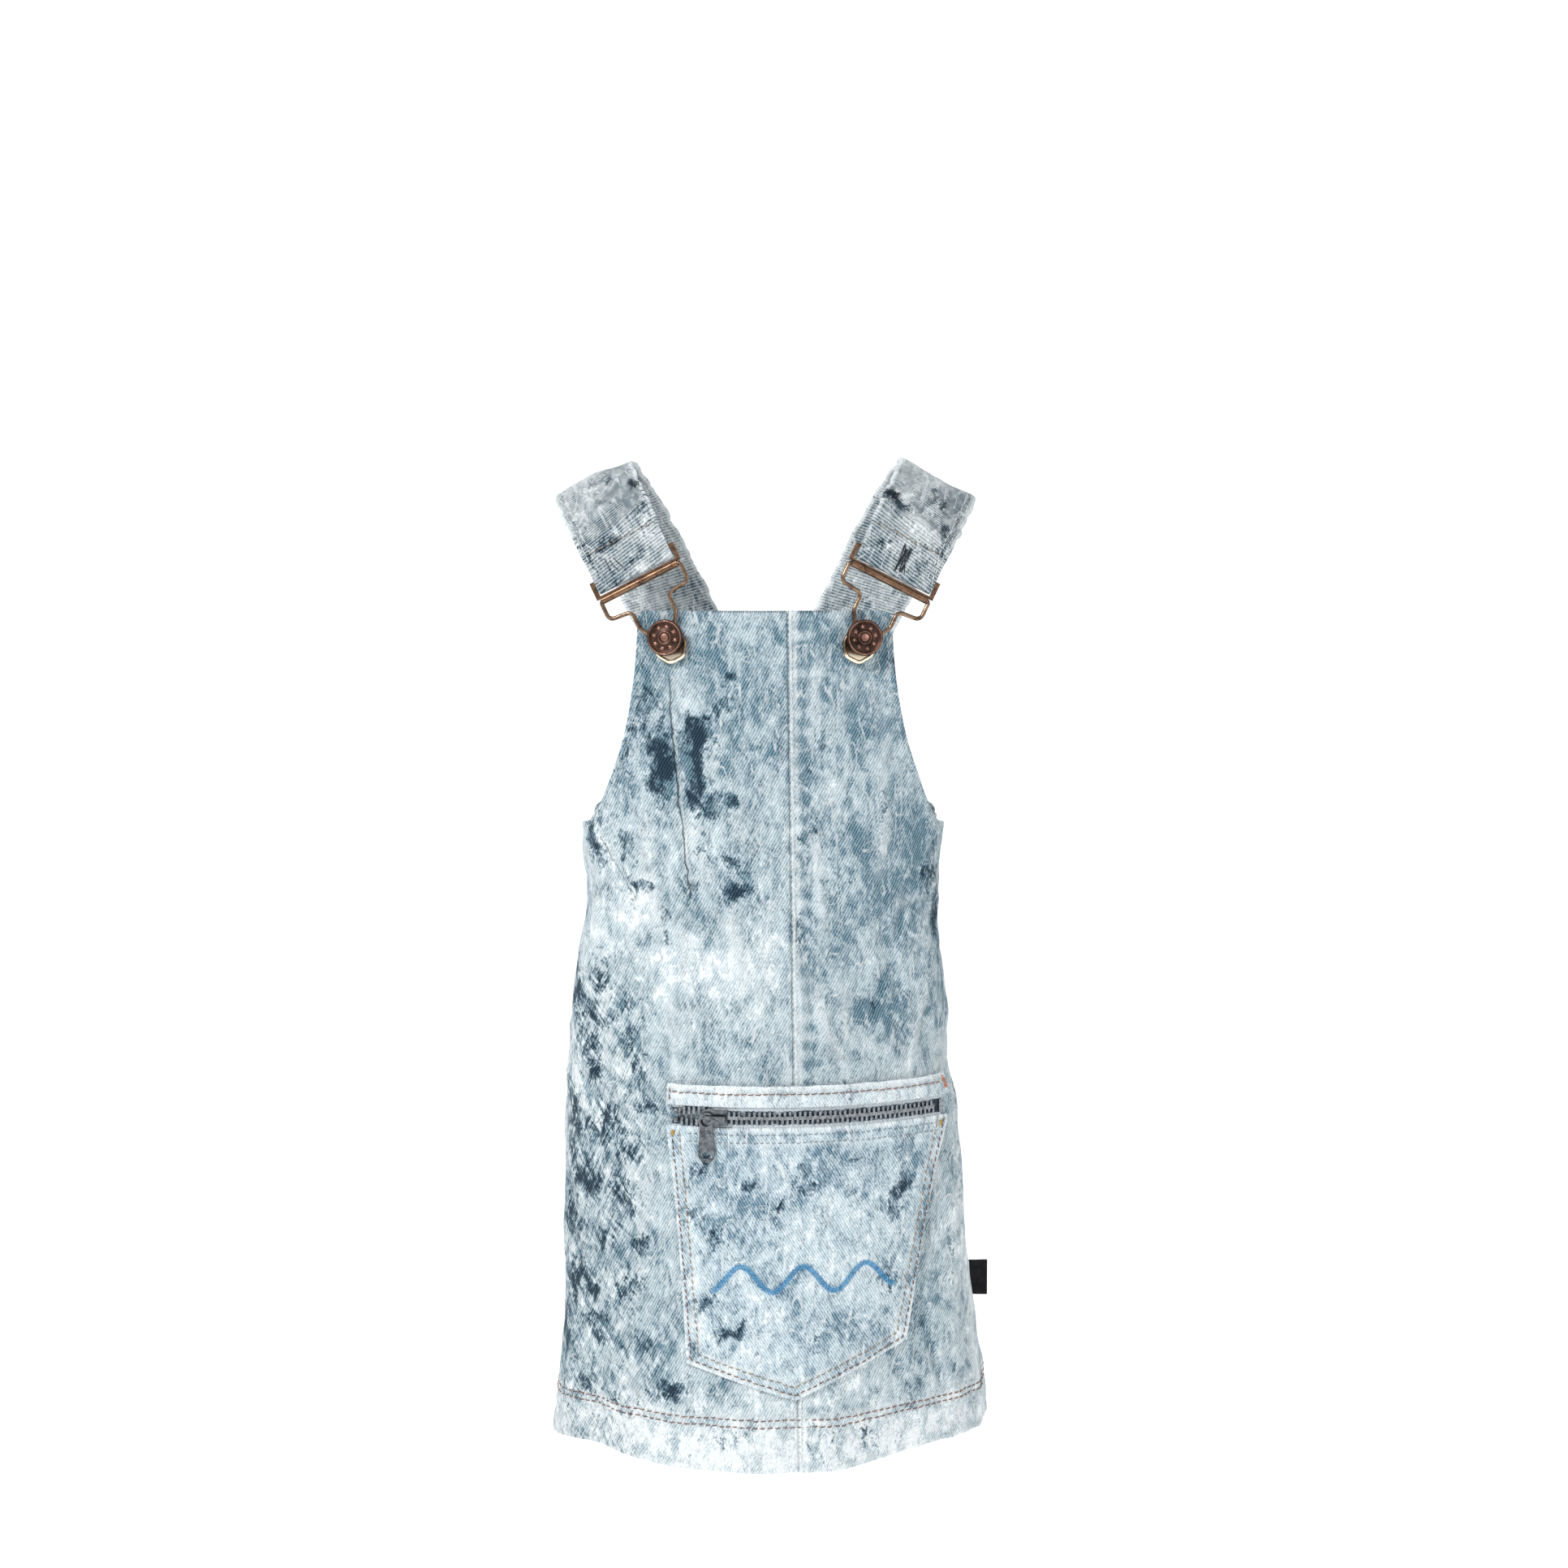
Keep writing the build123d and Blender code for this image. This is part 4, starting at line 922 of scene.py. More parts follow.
def panel(name, front, side, start, ridge):
    s, z = panel_grid(front, side, FRONT_LENGTH, start)
    if side < 0:
        s, z = s[:, ::-1], z[:, ::-1]
    from_seam = np.abs(s - (seam_s(z) if front else 0))
    off = hem_groove(z) + ridge * 0.5 * (1 - smoothstep(5.2, 8.0, from_seam))
    off -= 0.35 * np.exp(-((from_seam / 0.9) ** 2))
    edge_wear = 0.55 * (1 - smoothstep(0.0, 2.2, z - HEM))
    roping = 0.35 * np.exp(-(((z - HEM - HEM_ROWS[0] - 1.5) / 2.0) ** 2))
    puckers = 0.5 + 0.5 * np.sin((BIB_TOP - z) * 2 * math.pi / PUCKER_PITCH)
    seam_wear = 0.55 * np.exp(-(((from_seam - 3.0) / 2.2) ** 2)) * (0.4 + 0.6 * puckers) * ridge
    worn = np.maximum(np.maximum(edge_wear, roping), seam_wear)
    # painted shade in the troughs between the seam's puckers, beside the raised seam
    painted_pucker_shade = ridge * smoothstep(3.5, 5, from_seam) * (1 - smoothstep(8, 12, from_seam)) * (1 - puckers) * 0.9
    obj = cloth_piece(f"{name}_cloth", s, z, off, hem_thickness(z), MAIN_DENIM, front, worn=worn, pucker=painted_pucker_shade)
    return settle(obj, "garment", (name,))


panel("front_panel_left", True, 1, lambda z: seam_s(z) + RIM * 0.7, 1)
panel("front_panel_right", True, -1, lambda z: seam_s(z) - RIM * 0.7, 0)
panel("back_panel_left", False, 1, lambda z: 0 * z + RIM * 0.7, 1)
panel("back_panel_right", False, -1, lambda z: 0 * z - RIM * 0.7, 0)
for side_name, front in (("bib_lining", True), ("back_lining", False)):
    s_half, z_half = panel_grid(front, 1, 118.0, lambda z: 0 * z, 2.6, False, False, 118.0)
    s_both = np.concatenate((-s_half[:, :0:-1], s_half), 1) * 0.985
    z_both = np.concatenate((z_half[:, :0:-1], z_half), 1) - 1.2
    lining = cloth_piece(
        f"{side_name}_cloth", s_both, z_both, -1.25, LINING_THICK, LINING, front, splashes=(), washes=()
    )
    settle(lining, "garment", (side_name,))


# ---------------------------------------------------------------- zip and pocket
TAPE_EDGE, TAPE_OUTER = 1.4, 11.6  # heights of a tape's two long edges from the zip's centre line


def arc_point(s, height, r):
    a = np.asarray(s, float) / ZIP_R
    z = ZIP_Z + np.asarray(height, float)
    return np.stack(np.broadcast_arrays(r * np.sin(a), ZIP_Y - r * np.cos(a), z), -1)


def arc_normal(s, height):
    a = np.asarray(s, float) / ZIP_R
    return np.stack(np.broadcast_arrays(np.sin(a), -np.cos(a), 0.0 * np.asarray(height, float)), -1)


def row_offset(s, side):
    """How far a row of teeth stands open to the left of the slider."""
    opened = np.clip(SLIDER_S - 1.0 - np.asarray(s, float), 0, None)
    run = SLIDER_S - 1.0 - ZIP_LEFT
    near = np.minimum(1.0, opened / 3.5)
    fade = np.clip(1 - (opened / run) ** 3, 0, None)
    return side * 2.3 * near * (0.45 + 0.55 * fade)


SHEET_TOP = 3.7  # the pocket's outer face above the panel, by the zip


def zip_tape(name, side):
    s = np.linspace(ZIP_LEFT - 3.5, ZIP_RIGHT + 2.5, 230)
    across = np.linspace(0, 1, 14)
    edge = side * TAPE_EDGE + row_offset(s, side)
    height = edge[:, None] + (side * TAPE_OUTER - edge)[:, None] * across[None, :]
    grid_s = np.repeat(s[:, None], len(across), 1)
    points = arc_point(grid_s, height, ZIP_R + 0.3)
    normals = arc_normal(grid_s, height)
    verts, faces, source = closed_sheet(points, normals, TAPE_THICK, flip=side > 0)
    place = np.stack((grid_s / 10, height / 10 + 9, 0 * height), -1).reshape(-1, 3)[source]
    # painted shadow of the teeth on the tape close to them, put in the dark channel
    shade = 1.1 * (1 - smoothstep(1.2, 2.6, np.abs(height - edge[:, None])))
    dye_and_painted_shade = np.stack((shade, 0 * shade, 0 * shade), -1).reshape(-1, 3)[source]
    obj = new_object(f"{name}_ribbon", verts, faces, TAPE, extras=(("cloth", place), ("dye_and_painted_shade", dye_and_painted_shade)))
    return settle(obj, "garment", (name,))


zip_tape("zip_tape_upper", 1)
zip_tape("zip_tape_lower", -1)

PATCH_TOP = ZIP_Z - 5.6
TOP_LEFT, TOP_RIGHT = (-45.4, PATCH_TOP), (86.0, PATCH_TOP)
FOOT_LEFT, TIP, FOOT_RIGHT = (-36.8, BIB_TOP - 360.6), (14.5, BIB_TOP - 377.6), (67.2, BIB_TOP - 352.6)


def patch_grid():
    """(s, z) over the patch, columns fanning from the top edge to the pointed foot."""
    p = np.unique(np.concatenate((np.linspace(0, 0.05, 9), np.linspace(0.05, 0.95, 74), np.linspace(0.95, 1, 9))))
    q = np.unique(np.concatenate((np.linspace(0, 0.06, 9), np.linspace(0.06, 0.94, 68), np.linspace(0.94, 1, 10))))
    top = np.array(TOP_LEFT) + p[:, None] * (np.array(TOP_RIGHT) - np.array(TOP_LEFT))
    at_tip = (TIP[0] - FOOT_LEFT[0]) / (FOOT_RIGHT[0] - FOOT_LEFT[0])
    foot = np.stack([np.interp(p, (0, at_tip, 1), (FOOT_LEFT[k], TIP[k], FOOT_RIGHT[k])) for k in (0, 1)], -1)
    grid = top[None] + q[:, None, None] * (foot - top)[None]
    x, z = grid[..., 0], grid[..., 1]
    bow = 0.9 * np.sin(np.pi * q)[:, None] * (2 * p - 1)[None, :]
    return ZIP_R * np.arcsin((x - bow) / ZIP_R), z


def to_s(x):
    return ZIP_R * math.asin(x / ZIP_R)


PATCH = [(to_s(x), z) for x, z in (TOP_LEFT, TOP_RIGHT, FOOT_RIGHT, TIP, FOOT_LEFT)]


def patch_height(s, z):
    """Outer face of the patch above the panel: over the tape it is high, lower down it lies flat."""
    below = PATCH_TOP - z
    base = 2.25 + (SHEET_TOP - 2.25) * (1 - smoothstep(7, 26, below))
    edge = outline_distance(s, z, PATCH)
    quilt = 0.55 * value_noise(s / 19, z / 23, 77) + 0.28 * value_noise(s / 8, z / 11, 78)
    puff = quilt * smoothstep(4, 14, edge)
    sides = np.where(below > 3, 1.0, 0.0)
    groove = -0.32 * (np.exp(-(((edge - 1.9) / 0.7) ** 2)) + np.exp(-(((edge - 5.6) / 0.8) ** 2)))
    return base + puff + groove * (0.4 + 0.6 * sides)


def patch_thickness(s, z):
    edge = outline_distance(s, z, PATCH)
    return CLOTH_THICK + 0.95 * (1 - smoothstep(6.5, 8.5, edge))


patch_s, patch_z = patch_grid()
edge_gap = outline_distance(patch_s, patch_z, PATCH)
wear = 0.95 * (1 - smoothstep(0.3, 2.0, edge_gap)) * (0.6 + 0.4 * value_noise(patch_s / 3, patch_z / 3, 90))
wear = np.maximum(wear, 0.4 * np.exp(-(((edge_gap - 6.6) / 1.3) ** 2)))
patch = cloth_piece(
    "pocket_patch_cloth",
    patch_s,
    patch_z,
    patch_height(patch_s, patch_z),
    patch_thickness(patch_s, patch_z),
    POCKET_DENIM,
    splashes=POCKET_SPLASHES,
    washes=((40, 260, 44, 12, 0.6), (-20, 268, 24, 24, 0.45), (76, 290, 12, 40, 0.4), (20, 345, 40, 14, 0.25)),
    worn=wear,
    seed=140,
)
settle(patch, "garment", ("pocket_patch",))

STRIP_LOW, STRIP_HIGH = ZIP_Z + 5.6, ZIP_Z + 14.6
strip_s = np.repeat(np.linspace(to_s(-45.6), to_s(87.2), 110)[None, :], 14, 0)
rise = np.linspace(1, 0, 14)[:, None]
strip_z = STRIP_LOW + (STRIP_HIGH - STRIP_LOW) * rise + 0.25 * value_noise(strip_s / 5, 0, 95) * rise
strip_off = SHEET_TOP - 1.3 * smoothstep(0.45, 1.0, rise) + 0.12 * value_noise(strip_s / 7, strip_z / 4, 96)
strip_off = strip_off - 0.3 * np.exp(-(((strip_z - STRIP_HIGH + 3.0) / 0.8) ** 2))
strip_wear = np.broadcast_to(0.35 + 0.6 * smoothstep(0.7, 1.0, rise), strip_s.shape)
strip = cloth_piece(
    "pocket_top_strip_cloth",
    strip_s,
    strip_z,
    strip_off,
    CLOTH_THICK,
    POCKET_DENIM,
    splashes=(),
    washes=(),
    worn=strip_wear,
    seed=150,
)
settle(strip, "garment", ("pocket_top_strip",))

# ---------------------------------------------------------------- seams and stitching on the body
sew = np.random.RandomState(23)


def inset_path(outline, inset):
    """Corner points of an open outline moved inwards; it runs clockwise seen from the front."""
    pts = [np.array(p, float) for p in outline]
    out = []
    for i, p in enumerate(pts):
        before = p - pts[i - 1] if i > 0 else pts[1] - pts[0]
        after = pts[i + 1] - p if i < len(pts) - 1 else p - pts[i - 1]
        shifts = []
        for edge in (before, after):
            d = edge / np.linalg.norm(edge)
            shifts.append(np.array((d[1], -d[0])))
        normal = shifts[0] + shifts[1]
        out.append(p + normal * inset / (1 + shifts[0] @ shifts[1]))
    return np.array(out)


def on_patch(points, rng, **more):
    path = body_path(points)
    p, n = on_body(path[:, 0], path[:, 1], patch_height(path[:, 0], path[:, 1]) + 0.05)
    return stitch_chunks(p, n, rng, **more)


top_rows = []
for down in (2.4, 6.2):
    ends = ((PATCH[0][0] + 9.5, PATCH_TOP - down), (PATCH[1][0] - 2.5, PATCH_TOP - down))
    top_rows += on_patch(ends, np.random.RandomState(31), length=2.2, radius=0.19)
build("pocket_top_stitches", top_rows, GREY_THREAD, "garment")
PATCH_ROUND = PATCH[1:] + PATCH[:1]
for row_name, inset, row_thread in (("outer", 1.9, BROWN_THREAD), ("inner", 5.6, TAN_THREAD)):
    row_chunks = on_patch(inset_path(PATCH_ROUND, inset), sew)
    build(f"pocket_stitches_{row_name}", row_chunks, row_thread, "garment")
for row_name, row in zip(("upper", "lower"), HEM_ROWS):
    chunks = []
    for front in (True, False):
        girth = float(half_girth(HEM + row, front)) - 1.5
        path = body_path(((-girth, HEM + row), (girth, HEM + row)))
        chunks += stitches_on_body(path, hem_groove(np.float64(HEM + row)) + 0.05, sew, front, length=2.9)
    build(f"hem_stitches_{row_name}", chunks, BROWN_THREAD, "garment")


def rows_on(name, paths, off, material, front=True, **more):
    chunks = []
    for path in paths:
        chunks += stitches_on_body(body_path(path), off, sew, front, **more)
    build(name, chunks, material, "garment")


def seam_line(shift, drops):
    return [(float(seam_s(BIB_TOP - d)) + shift, BIB_TOP - d) for d in drops]


rows_on(
    "front_seam_stitches",
    [seam_line(1.5, np.linspace(1, 222, 30)), seam_line(1.5, np.linspace(380, 413, 6))],
    0.5,
    PALE_THREAD,
    length=1.5,
    gap=0.35,
    radius=0.24,
    sway=0.3,
)
back_rows = [[(x, BIB_TOP - d) for d in np.linspace(47, 412, 40)] for x in (1.6, 5.4)]
rows_on("back_seam_stitches", back_rows, 0.5, TAN_THREAD, False, length=2.6, radius=0.2)
# overlocked bib edge: dark loops over the fold
bib_path = body_path(((-24, BIB_TOP - 0.9), (33, BIB_TOP - 0.9)), 0.5)
p, n = on_body(bib_path[:, 0], bib_path[:, 1], 0.0)
loops = []
for k in range(0, len(p) - 2, 2):
    lean = 0.5 * sew.uniform(0.4, 1.2)
    arc = np.linspace(-0.2, 1.2, 7) * math.pi
    up = np.stack((np.linspace(0, lean, 7), 0 * arc, 0.55 * np.sin(arc)), -1)
    depth = n[k] * (-0.5 + 0.75 * np.cos(arc))[:, None]
    loops.append(tube_path(p[k] + up + depth + np.array((0, 0, 0.85)), 0.11, 5))
build("bib_edge_overlock", loops, DARK_THREAD, "garment")
# narrow topstitching round the armholes, seen from near
for sign, label in ((1, "left"), (-1, "right")):
    chunks = []
    for front in (True, False):
        line = edge_line(front, 106.0)
        keep = line[line[:, 1] > BIB_TOP - 104.6]
        path = along(keep, np.arange(3, run_of(keep)[-1] - 1, 0.8))
        step = unit(np.gradient(path, axis=0))
        path = path + 2.6 * np.stack((step[:, 1], -step[:, 0]), -1)
        path[:, 0] = np.minimum(path[:, 0], half_girth(path[:, 1], front) - 0.5)
        q, m = on_body(sign * path[:, 0], path[:, 1], 0.02, front)
        chunks += stitch_chunks(q, m, sew, length=2.4, radius=0.16)
    build(f"armhole_stitches_{label}", chunks, PALE_THREAD, "garment")


def strip_height(z):
    return SHEET_TOP - 1.3 * smoothstep(0.45, 1.0, (z - STRIP_LOW) / (STRIP_HIGH - STRIP_LOW))


def on_strip(points, rng, **more):
    path = body_path(points)
    q, m = on_body(path[:, 0], path[:, 1], strip_height(path[:, 1]) + 0.08)
    return stitch_chunks(q, m, rng, **more)


strip_l, strip_r = to_s(-45.6), to_s(87.2)
strip_top = on_strip(((strip_l + 2, STRIP_HIGH - 3.0), (strip_r - 1.5, STRIP_HIGH - 3.0)), sew)
strip_top += on_strip(((strip_l + 1.4, STRIP_HIGH - 1.0), (strip_l + 1.4, STRIP_LOW + 0.8)), sew)
build("strip_stitches", strip_top, BROWN_THREAD, "garment")
bar_tack = []
for k in range(9):
    z0 = STRIP_HIGH - 1.2 - k * 0.62
    bar_tack += on_strip(((strip_r - 3.2, z0), (strip_r - 0.6, z0 + 0.25)), sew, length=1.9, gap=0.3, radius=0.22)
build("corner_bar_tack", bar_tack, ORANGE_THREAD, "garment")


def tack(name, s, z, height, width, count, material):
    """A dense bar of parallel stitches on the patch."""
    chunks = []
    for k in range(count):
        y = z + (k - count / 2) * 0.34
        path = body_path(((s, y), (s + width, y + 0.2)), 0.4)
        q, m = on_body(path[:, 0], path[:, 1], height)
        chunks += stitch_chunks(q, m, sew, length=width * 0.7, gap=9, radius=0.2, sink=0.15)
    build(name, chunks, material, "garment")


tack("zip_tack_left", to_s(-44.2), PATCH_TOP - 2.6, SHEET_TOP, 3.2, 7, GOLD_THREAD)
tack("zip_tack_right", to_s(81.6), PATCH_TOP - 2.8, SHEET_TOP, 3.2, 7, GOLD_THREAD)


def fibres(roots, normals, outwards, rng, count, length, radius=0.06, spread=0.5):
    """Loose yarn ends along a raw edge. roots, normals and outwards are aligned arrays."""
    chunks = []
    for _ in range(count):
        k = rng.randint(0, len(roots))
        reach = length * rng.uniform(0.3, 1.0)
        tangent = np.cross(normals[k], outwards[k])
        way = outwards[k] + tangent * rng.normal(0, spread) + normals[k] * rng.normal(0, spread * 0.6)
        way /= np.linalg.norm(way)
        bend = tangent * rng.normal(0, 0.5) + normals[k] * rng.normal(0, 0.4)
        t = np.linspace(0, 1, 5)[:, None]
        base = roots[k] - outwards[k] * 0.5 - normals[k] * rng.uniform(0.1, 0.9)
        path = base + way * reach * t + bend * reach * 0.4 * t * t
        chunks.append(tube_path(path, radius * (1.1 - 0.7 * t[:, 0]), 4))
    return chunks


fray_s = np.linspace(strip_l + 1, strip_r - 1, 260)
fray_z = np.full_like(fray_s, STRIP_HIGH)
q, m = on_body(fray_s, fray_z, strip_height(fray_z))
upwards = np.tile(np.array((0.0, 0.0, 1.0)), (len(q), 1))
build("strip_fray", fibres(q, m, upwards, sew, 420, 2.6), WHITE_FIBRE, "garment")

# ---------------------------------------------------------------- embroidery
WAVE_Z, WAVE_LEFT, WAVE_RIGHT, WAVE_RISE = BIB_TOP - 318.0, -26.0, 62.0, 6.2
x = np.linspace(WAVE_LEFT, WAVE_RIGHT, 900)
phase = (x - WAVE_LEFT) / (WAVE_RIGHT - WAVE_LEFT) * 6 * math.pi
wave = np.stack((ZIP_R * np.arcsin(x / ZIP_R), WAVE_Z - WAVE_RISE * np.cos(phase)), -1)
wave = along(wave, np.arange(0, run_of(wave)[-1], 0.2))
step = unit(np.gradient(wave, axis=0))
cross = np.stack((-step[:, 1], step[:, 0]), -1)
chain = []
for lane in (-0.85, 0.0, 0.85):
    for k in range(int(4 * (lane + 1)), len(wave) - 12, 8):
        t = np.linspace(0, 1, 9)
        idx = k + (t * 11).astype(int)
        loop_side = 0.36 * np.sin(t * math.pi * 2)
        flat = wave[idx] + cross[idx] * (lane + loop_side)[:, None]
        h = patch_height(flat[:, 0], flat[:, 1]) + 0.12 + 0.28 * np.sin(t * math.pi)
        q, m = on_body(flat[:, 0], flat[:, 1], h)
        chain.append(tube_path(q, 0.2, 5))
build("pocket_embroidery_stitches", chain, BLUE_THREAD, "garment", ("pocket_embroidery",))

# ---------------------------------------------------------------- side label
LABEL_Z, LABEL_LONG = BIB_TOP - 339.0, 17.4
half_x = float(pchip(np.array((339.0,)), SECTIONS[:, 0], SECTIONS[:, 1])[0])
loop = [(half_x - 0.6 + 10.0 * t, 0.5 + 0.15 * math.sin(3 * t)) for t in np.linspace(0, 1, 16)]
nose_turn = np.linspace(0.2, math.pi - 0.2, 9)
nose = [(half_x + 9.4 + 0.55 * math.sin(a), 0.6 - 0.5 * (1 - math.cos(a))) for a in nose_turn]
back = [(px, py - 1.0) for px, py in reversed(loop)]
profile = np.array(loop + nose + back)
profile[:, 1] *= -1
heights = np.linspace(-LABEL_LONG / 2, LABEL_LONG / 2, 22)
grid = np.stack(
    (
        np.repeat(profile[:, :1], len(heights), 1),
        np.repeat(profile[:, 1:], len(heights), 1)
        + 0.5 * np.sin(heights / 7)[None, :] * ((profile[:, :1] - half_x) / 10),
        LABEL_Z + heights[None, :] + 0 * profile[:, :1],
    ),
    -1,
)
along_x = np.gradient(grid, axis=0)
normals = unit(np.cross(along_x, np.array((0, 0, 1.0))))
verts, faces, _ = closed_sheet(grid, normals, LABEL_THICK)
label = new_object("side_label_ribbon", verts, faces, LABEL)
settle(label, "garment", ("side_label",))

# ---------------------------------------------------------------- straps
LEAN = math.radians(27.0)
BIB_RADIUS, BIB_DEPTH = 230.0, 57.2  # of the front at the top of the bib
yaw = BUTTON[0] / math.sqrt(BIB_RADIUS**2 - BUTTON[0] ** 2)
bib_slope = (61.0 - BIB_DEPTH) / 38.0
button_y = BIB_RADIUS - math.sqrt(BIB_RADIUS**2 - BUTTON[0] ** 2) - BIB_DEPTH - bib_slope * 20.5
BUTTON_AT = np.array((BUTTON[0], button_y, BIB_TOP - BUTTON[1]))
OUT = np.array((yaw, -1.0, bib_slope))
OUT /= np.linalg.norm(OUT)
ACROSS = np.array((1.0, yaw, 0.0))
ACROSS /= np.linalg.norm(ACROSS)
UP = np.cross(OUT, ACROSS)
BAR = ACROSS * math.cos(LEAN) - UP * math.sin(LEAN)
ALONG = np.cross(OUT, BAR)


def at(u, v, w):
    return BUTTON_AT + BAR * u + ALONG * v + OUT * w


STRAP_PATH = (
    (77.5, -29, 50.2), (82.8, -9, 59.0), (83.0, 5, 60.0), (79.5, 23, 54.5),
    (70.5, 37, 39.0), (58.5, 44.2, 16.0), (45.5, 47.0, -10.0), (33.5, 46.7, -36.0),
    (24.5, 46.2, -57.0),
)
SHOULDER_BAR, BACK_BAR = np.array((0.90, 0.0, -0.44)), np.array((0.93, -0.10, -0.37))


def catmull(points, per=24):
    pts = np.asarray(points, float)
    pts = np.concatenate((2 * pts[:1] - pts[1:2], pts, 2 * pts[-1:] - pts[-2:-1]))
    out = []
    for a, b, c, d in zip(pts, pts[1:], pts[2:], pts[3:]):
        ta = np.linalg.norm(b - a) ** 0.5
        tb = ta + np.linalg.norm(c - b) ** 0.5
        tc = tb + np.linalg.norm(d - c) ** 0.5
        t = np.linspace(ta, tb, per, endpoint=False)[:, None]
        p = a * (ta - t) / ta + b * t / ta
        q = b * (tb - t) / (tb - ta) + c * (t - ta) / (tb - ta)
        r = c * (tc - t) / (tc - tb) + d * (t - tb) / (tc - tb)
        u = p * (tb - t) / tb + q * t / tb
        v = q * (tc - t) / (tc - ta) + r * (t - ta) / (tc - ta)
        out.append(u * (tb - t) / (tb - ta) + v * (t - ta) / (tb - ta))
    out.append(pts[-2][None])
    return np.concatenate(out)


LOOP_V, LOOP_W, LOOP_R = 34.4, 2.5, 1.5


def strap_line():
    """Centre line from the sewn-down end, round the slide's bar, over the shoulder to the back."""
    down_leg = [at(0, v, 1.0) for v in np.arange(52.0, LOOP_V, -1.0)]
    turn = [
        at(0, LOOP_V - LOOP_R * math.sin(a), LOOP_W - LOOP_R * math.cos(a)) for a in np.linspace(0, math.pi, 13)
    ]
    up_leg = [at(0, v, 4.0 - 1.5 * smoothstep(46, 57, v)) for v in np.arange(LOOP_V + 1, 58.5, 1.0)]
    over = catmull([at(0, 58.5, 2.5)] + [np.array((px, py, BIB_TOP + pz)) for px, py, pz in STRAP_PATH])[1:]
    line = np.array(down_leg + turn + up_leg)
    return np.concatenate((line, over)), len(down_leg), len(down_leg) + len(turn)


STRAP_ROWS = (18.2, 15.7)  # two rows of stitches, in mm from the strap's centre line
STRAP_HALF = 19.6


def strap(side_name, mirror, seed):
    line, turn_start, turn_end = strap_line()
    run = run_of(line)
    fold = run[(turn_start + turn_end) // 2]
    seam_at = run[turn_end] + 16.0
    d = np.concatenate(
        (
            np.arange(0, run[turn_start] - 0.5, 1.6),
            np.arange(run[turn_start] - 0.5, run[turn_end] + 1, 0.35),
            np.arange(run[turn_end] + 1.3, run[-1], 1.3),
        )
    )
    centre = along(line, d)
    tangent = unit(np.gradient(centre, axis=0))
    part = np.clip((d - run[turn_end] - 20) / (run[-1] - run[turn_end] - 20), 0, 1)[:, None]
    to_shoulder = BAR + (SHOULDER_BAR - BAR) * part / 0.35
    to_back = SHOULDER_BAR + (BACK_BAR - SHOULDER_BAR) * (part - 0.35) / 0.65
    wide = np.where(part < 0.35, to_shoulder, to_back)
    wide = unit(wide - tangent * np.sum(wide * tangent, 1, keepdims=True))
    normal = np.cross(wide, tangent)
    across = np.concatenate(
        (np.linspace(-1, -0.88, 6)[:-1], np.linspace(-0.88, 0.88, 30), np.linspace(0.88, 1, 6)[1:])
    )
    half = 19.3 + 0.3 * smoothstep(10, 20, d - run[turn_end])
    D, A = np.meshgrid(d, across, indexing="ij")
    above_bar = D - run[turn_end]
    free = smoothstep(16, 26, above_bar)
    tatter = 0.55 * value_noise(D / 5.5, np.sign(A) * 9 + seed, seed)
    ragged = free * (tatter + 0.35 * value_noise(D / 1.8, np.sign(A) * 5, seed + 1))
    lateral = A * half[:, None] + np.sign(A) * ragged * np.abs(A) ** 6
    thick = 1.2 + 1.1 * smoothstep(fold + 13, fold + 22, D)
    crumple = 0.95 * value_noise(D / 12, A * 1.8 + D / 30, seed + 2) + 0.5 * value_noise(D / 6, A * 3.2, seed + 3)
    crumple += 0.9 * value_noise(D / 17 + A, A * 0.8, seed + 6)
    rise = crumple * smoothstep(14, 24, above_bar) * (1 - smoothstep(run[-1] - 40, run[-1] - 25, D))
    rise -= 0.55 * np.exp(-(((D - seam_at) / 0.9) ** 2)) * (D > fold)
    stitched = sum(np.exp(-(((A * STRAP_HALF - row) / 0.8) ** 2)) for row in STRAP_ROWS)
    rise -= 0.3 * stitched * smoothstep(15, 20, above_bar)
    outer = centre[:, None] + wide[:, None] * lateral[..., None] + normal[:, None] * (thick / 2 + rise)[..., None]
    normals = np.repeat(normal[:, None], len(across), 1)
    flip = np.array((-1.0, 1.0, 1.0)) if mirror else np.ones(3)
    outer, normals = outer * flip, normals * flip
    verts, faces, source = closed_sheet(outer, normals, thick, flip=mirror)
    place = np.stack((lateral / 10 + seed, D / 10, 0 * D), -1).reshape(-1, 3)[source]
    dark = blobs(lateral, above_bar, STRAP_SPLASHES[side_name], seed + 11)
    # painted shade along the sunken band of the stitch rows
    dark += 0.30 * np.exp(-(((lateral - 16.9) / 1.2) ** 2)) * smoothstep(2, 8, above_bar)
    # painted shade in the groove of the sewn end's seam
    dark += 0.5 * np.exp(-(((D - seam_at) / 0.8) ** 2)) * (D > fold)
    mid = 0.30 + 0.4 * value_noise(D / 20, A * 1.3, seed + 8) + 0.28 * (1 - smoothstep(0, 13, above_bar))
    worn = np.maximum(0.75 * smoothstep(0.94, 1.0, np.abs(A)) * free, 0.5 * np.clip(crumple - 0.35, 0, 1))
    dye_and_painted_shade = np.stack((dark, mid, worn), -1).reshape(-1, 3)[source]
    obj = new_object(f"strap_cloth_{side_name}", verts, faces, STRAP_DENIM, extras=(("cloth", place), ("dye_and_painted_shade", dye_and_painted_shade)))
    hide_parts(f"strap_{side_name}", f"strap_end_{side_name}")
    pieces = [obj]

    def add_piece(kind, chunks, material):
        verts, faces = joined(chunks)
        pieces.append(new_object(f"strap_{kind}_{side_name}", verts, faces, material))

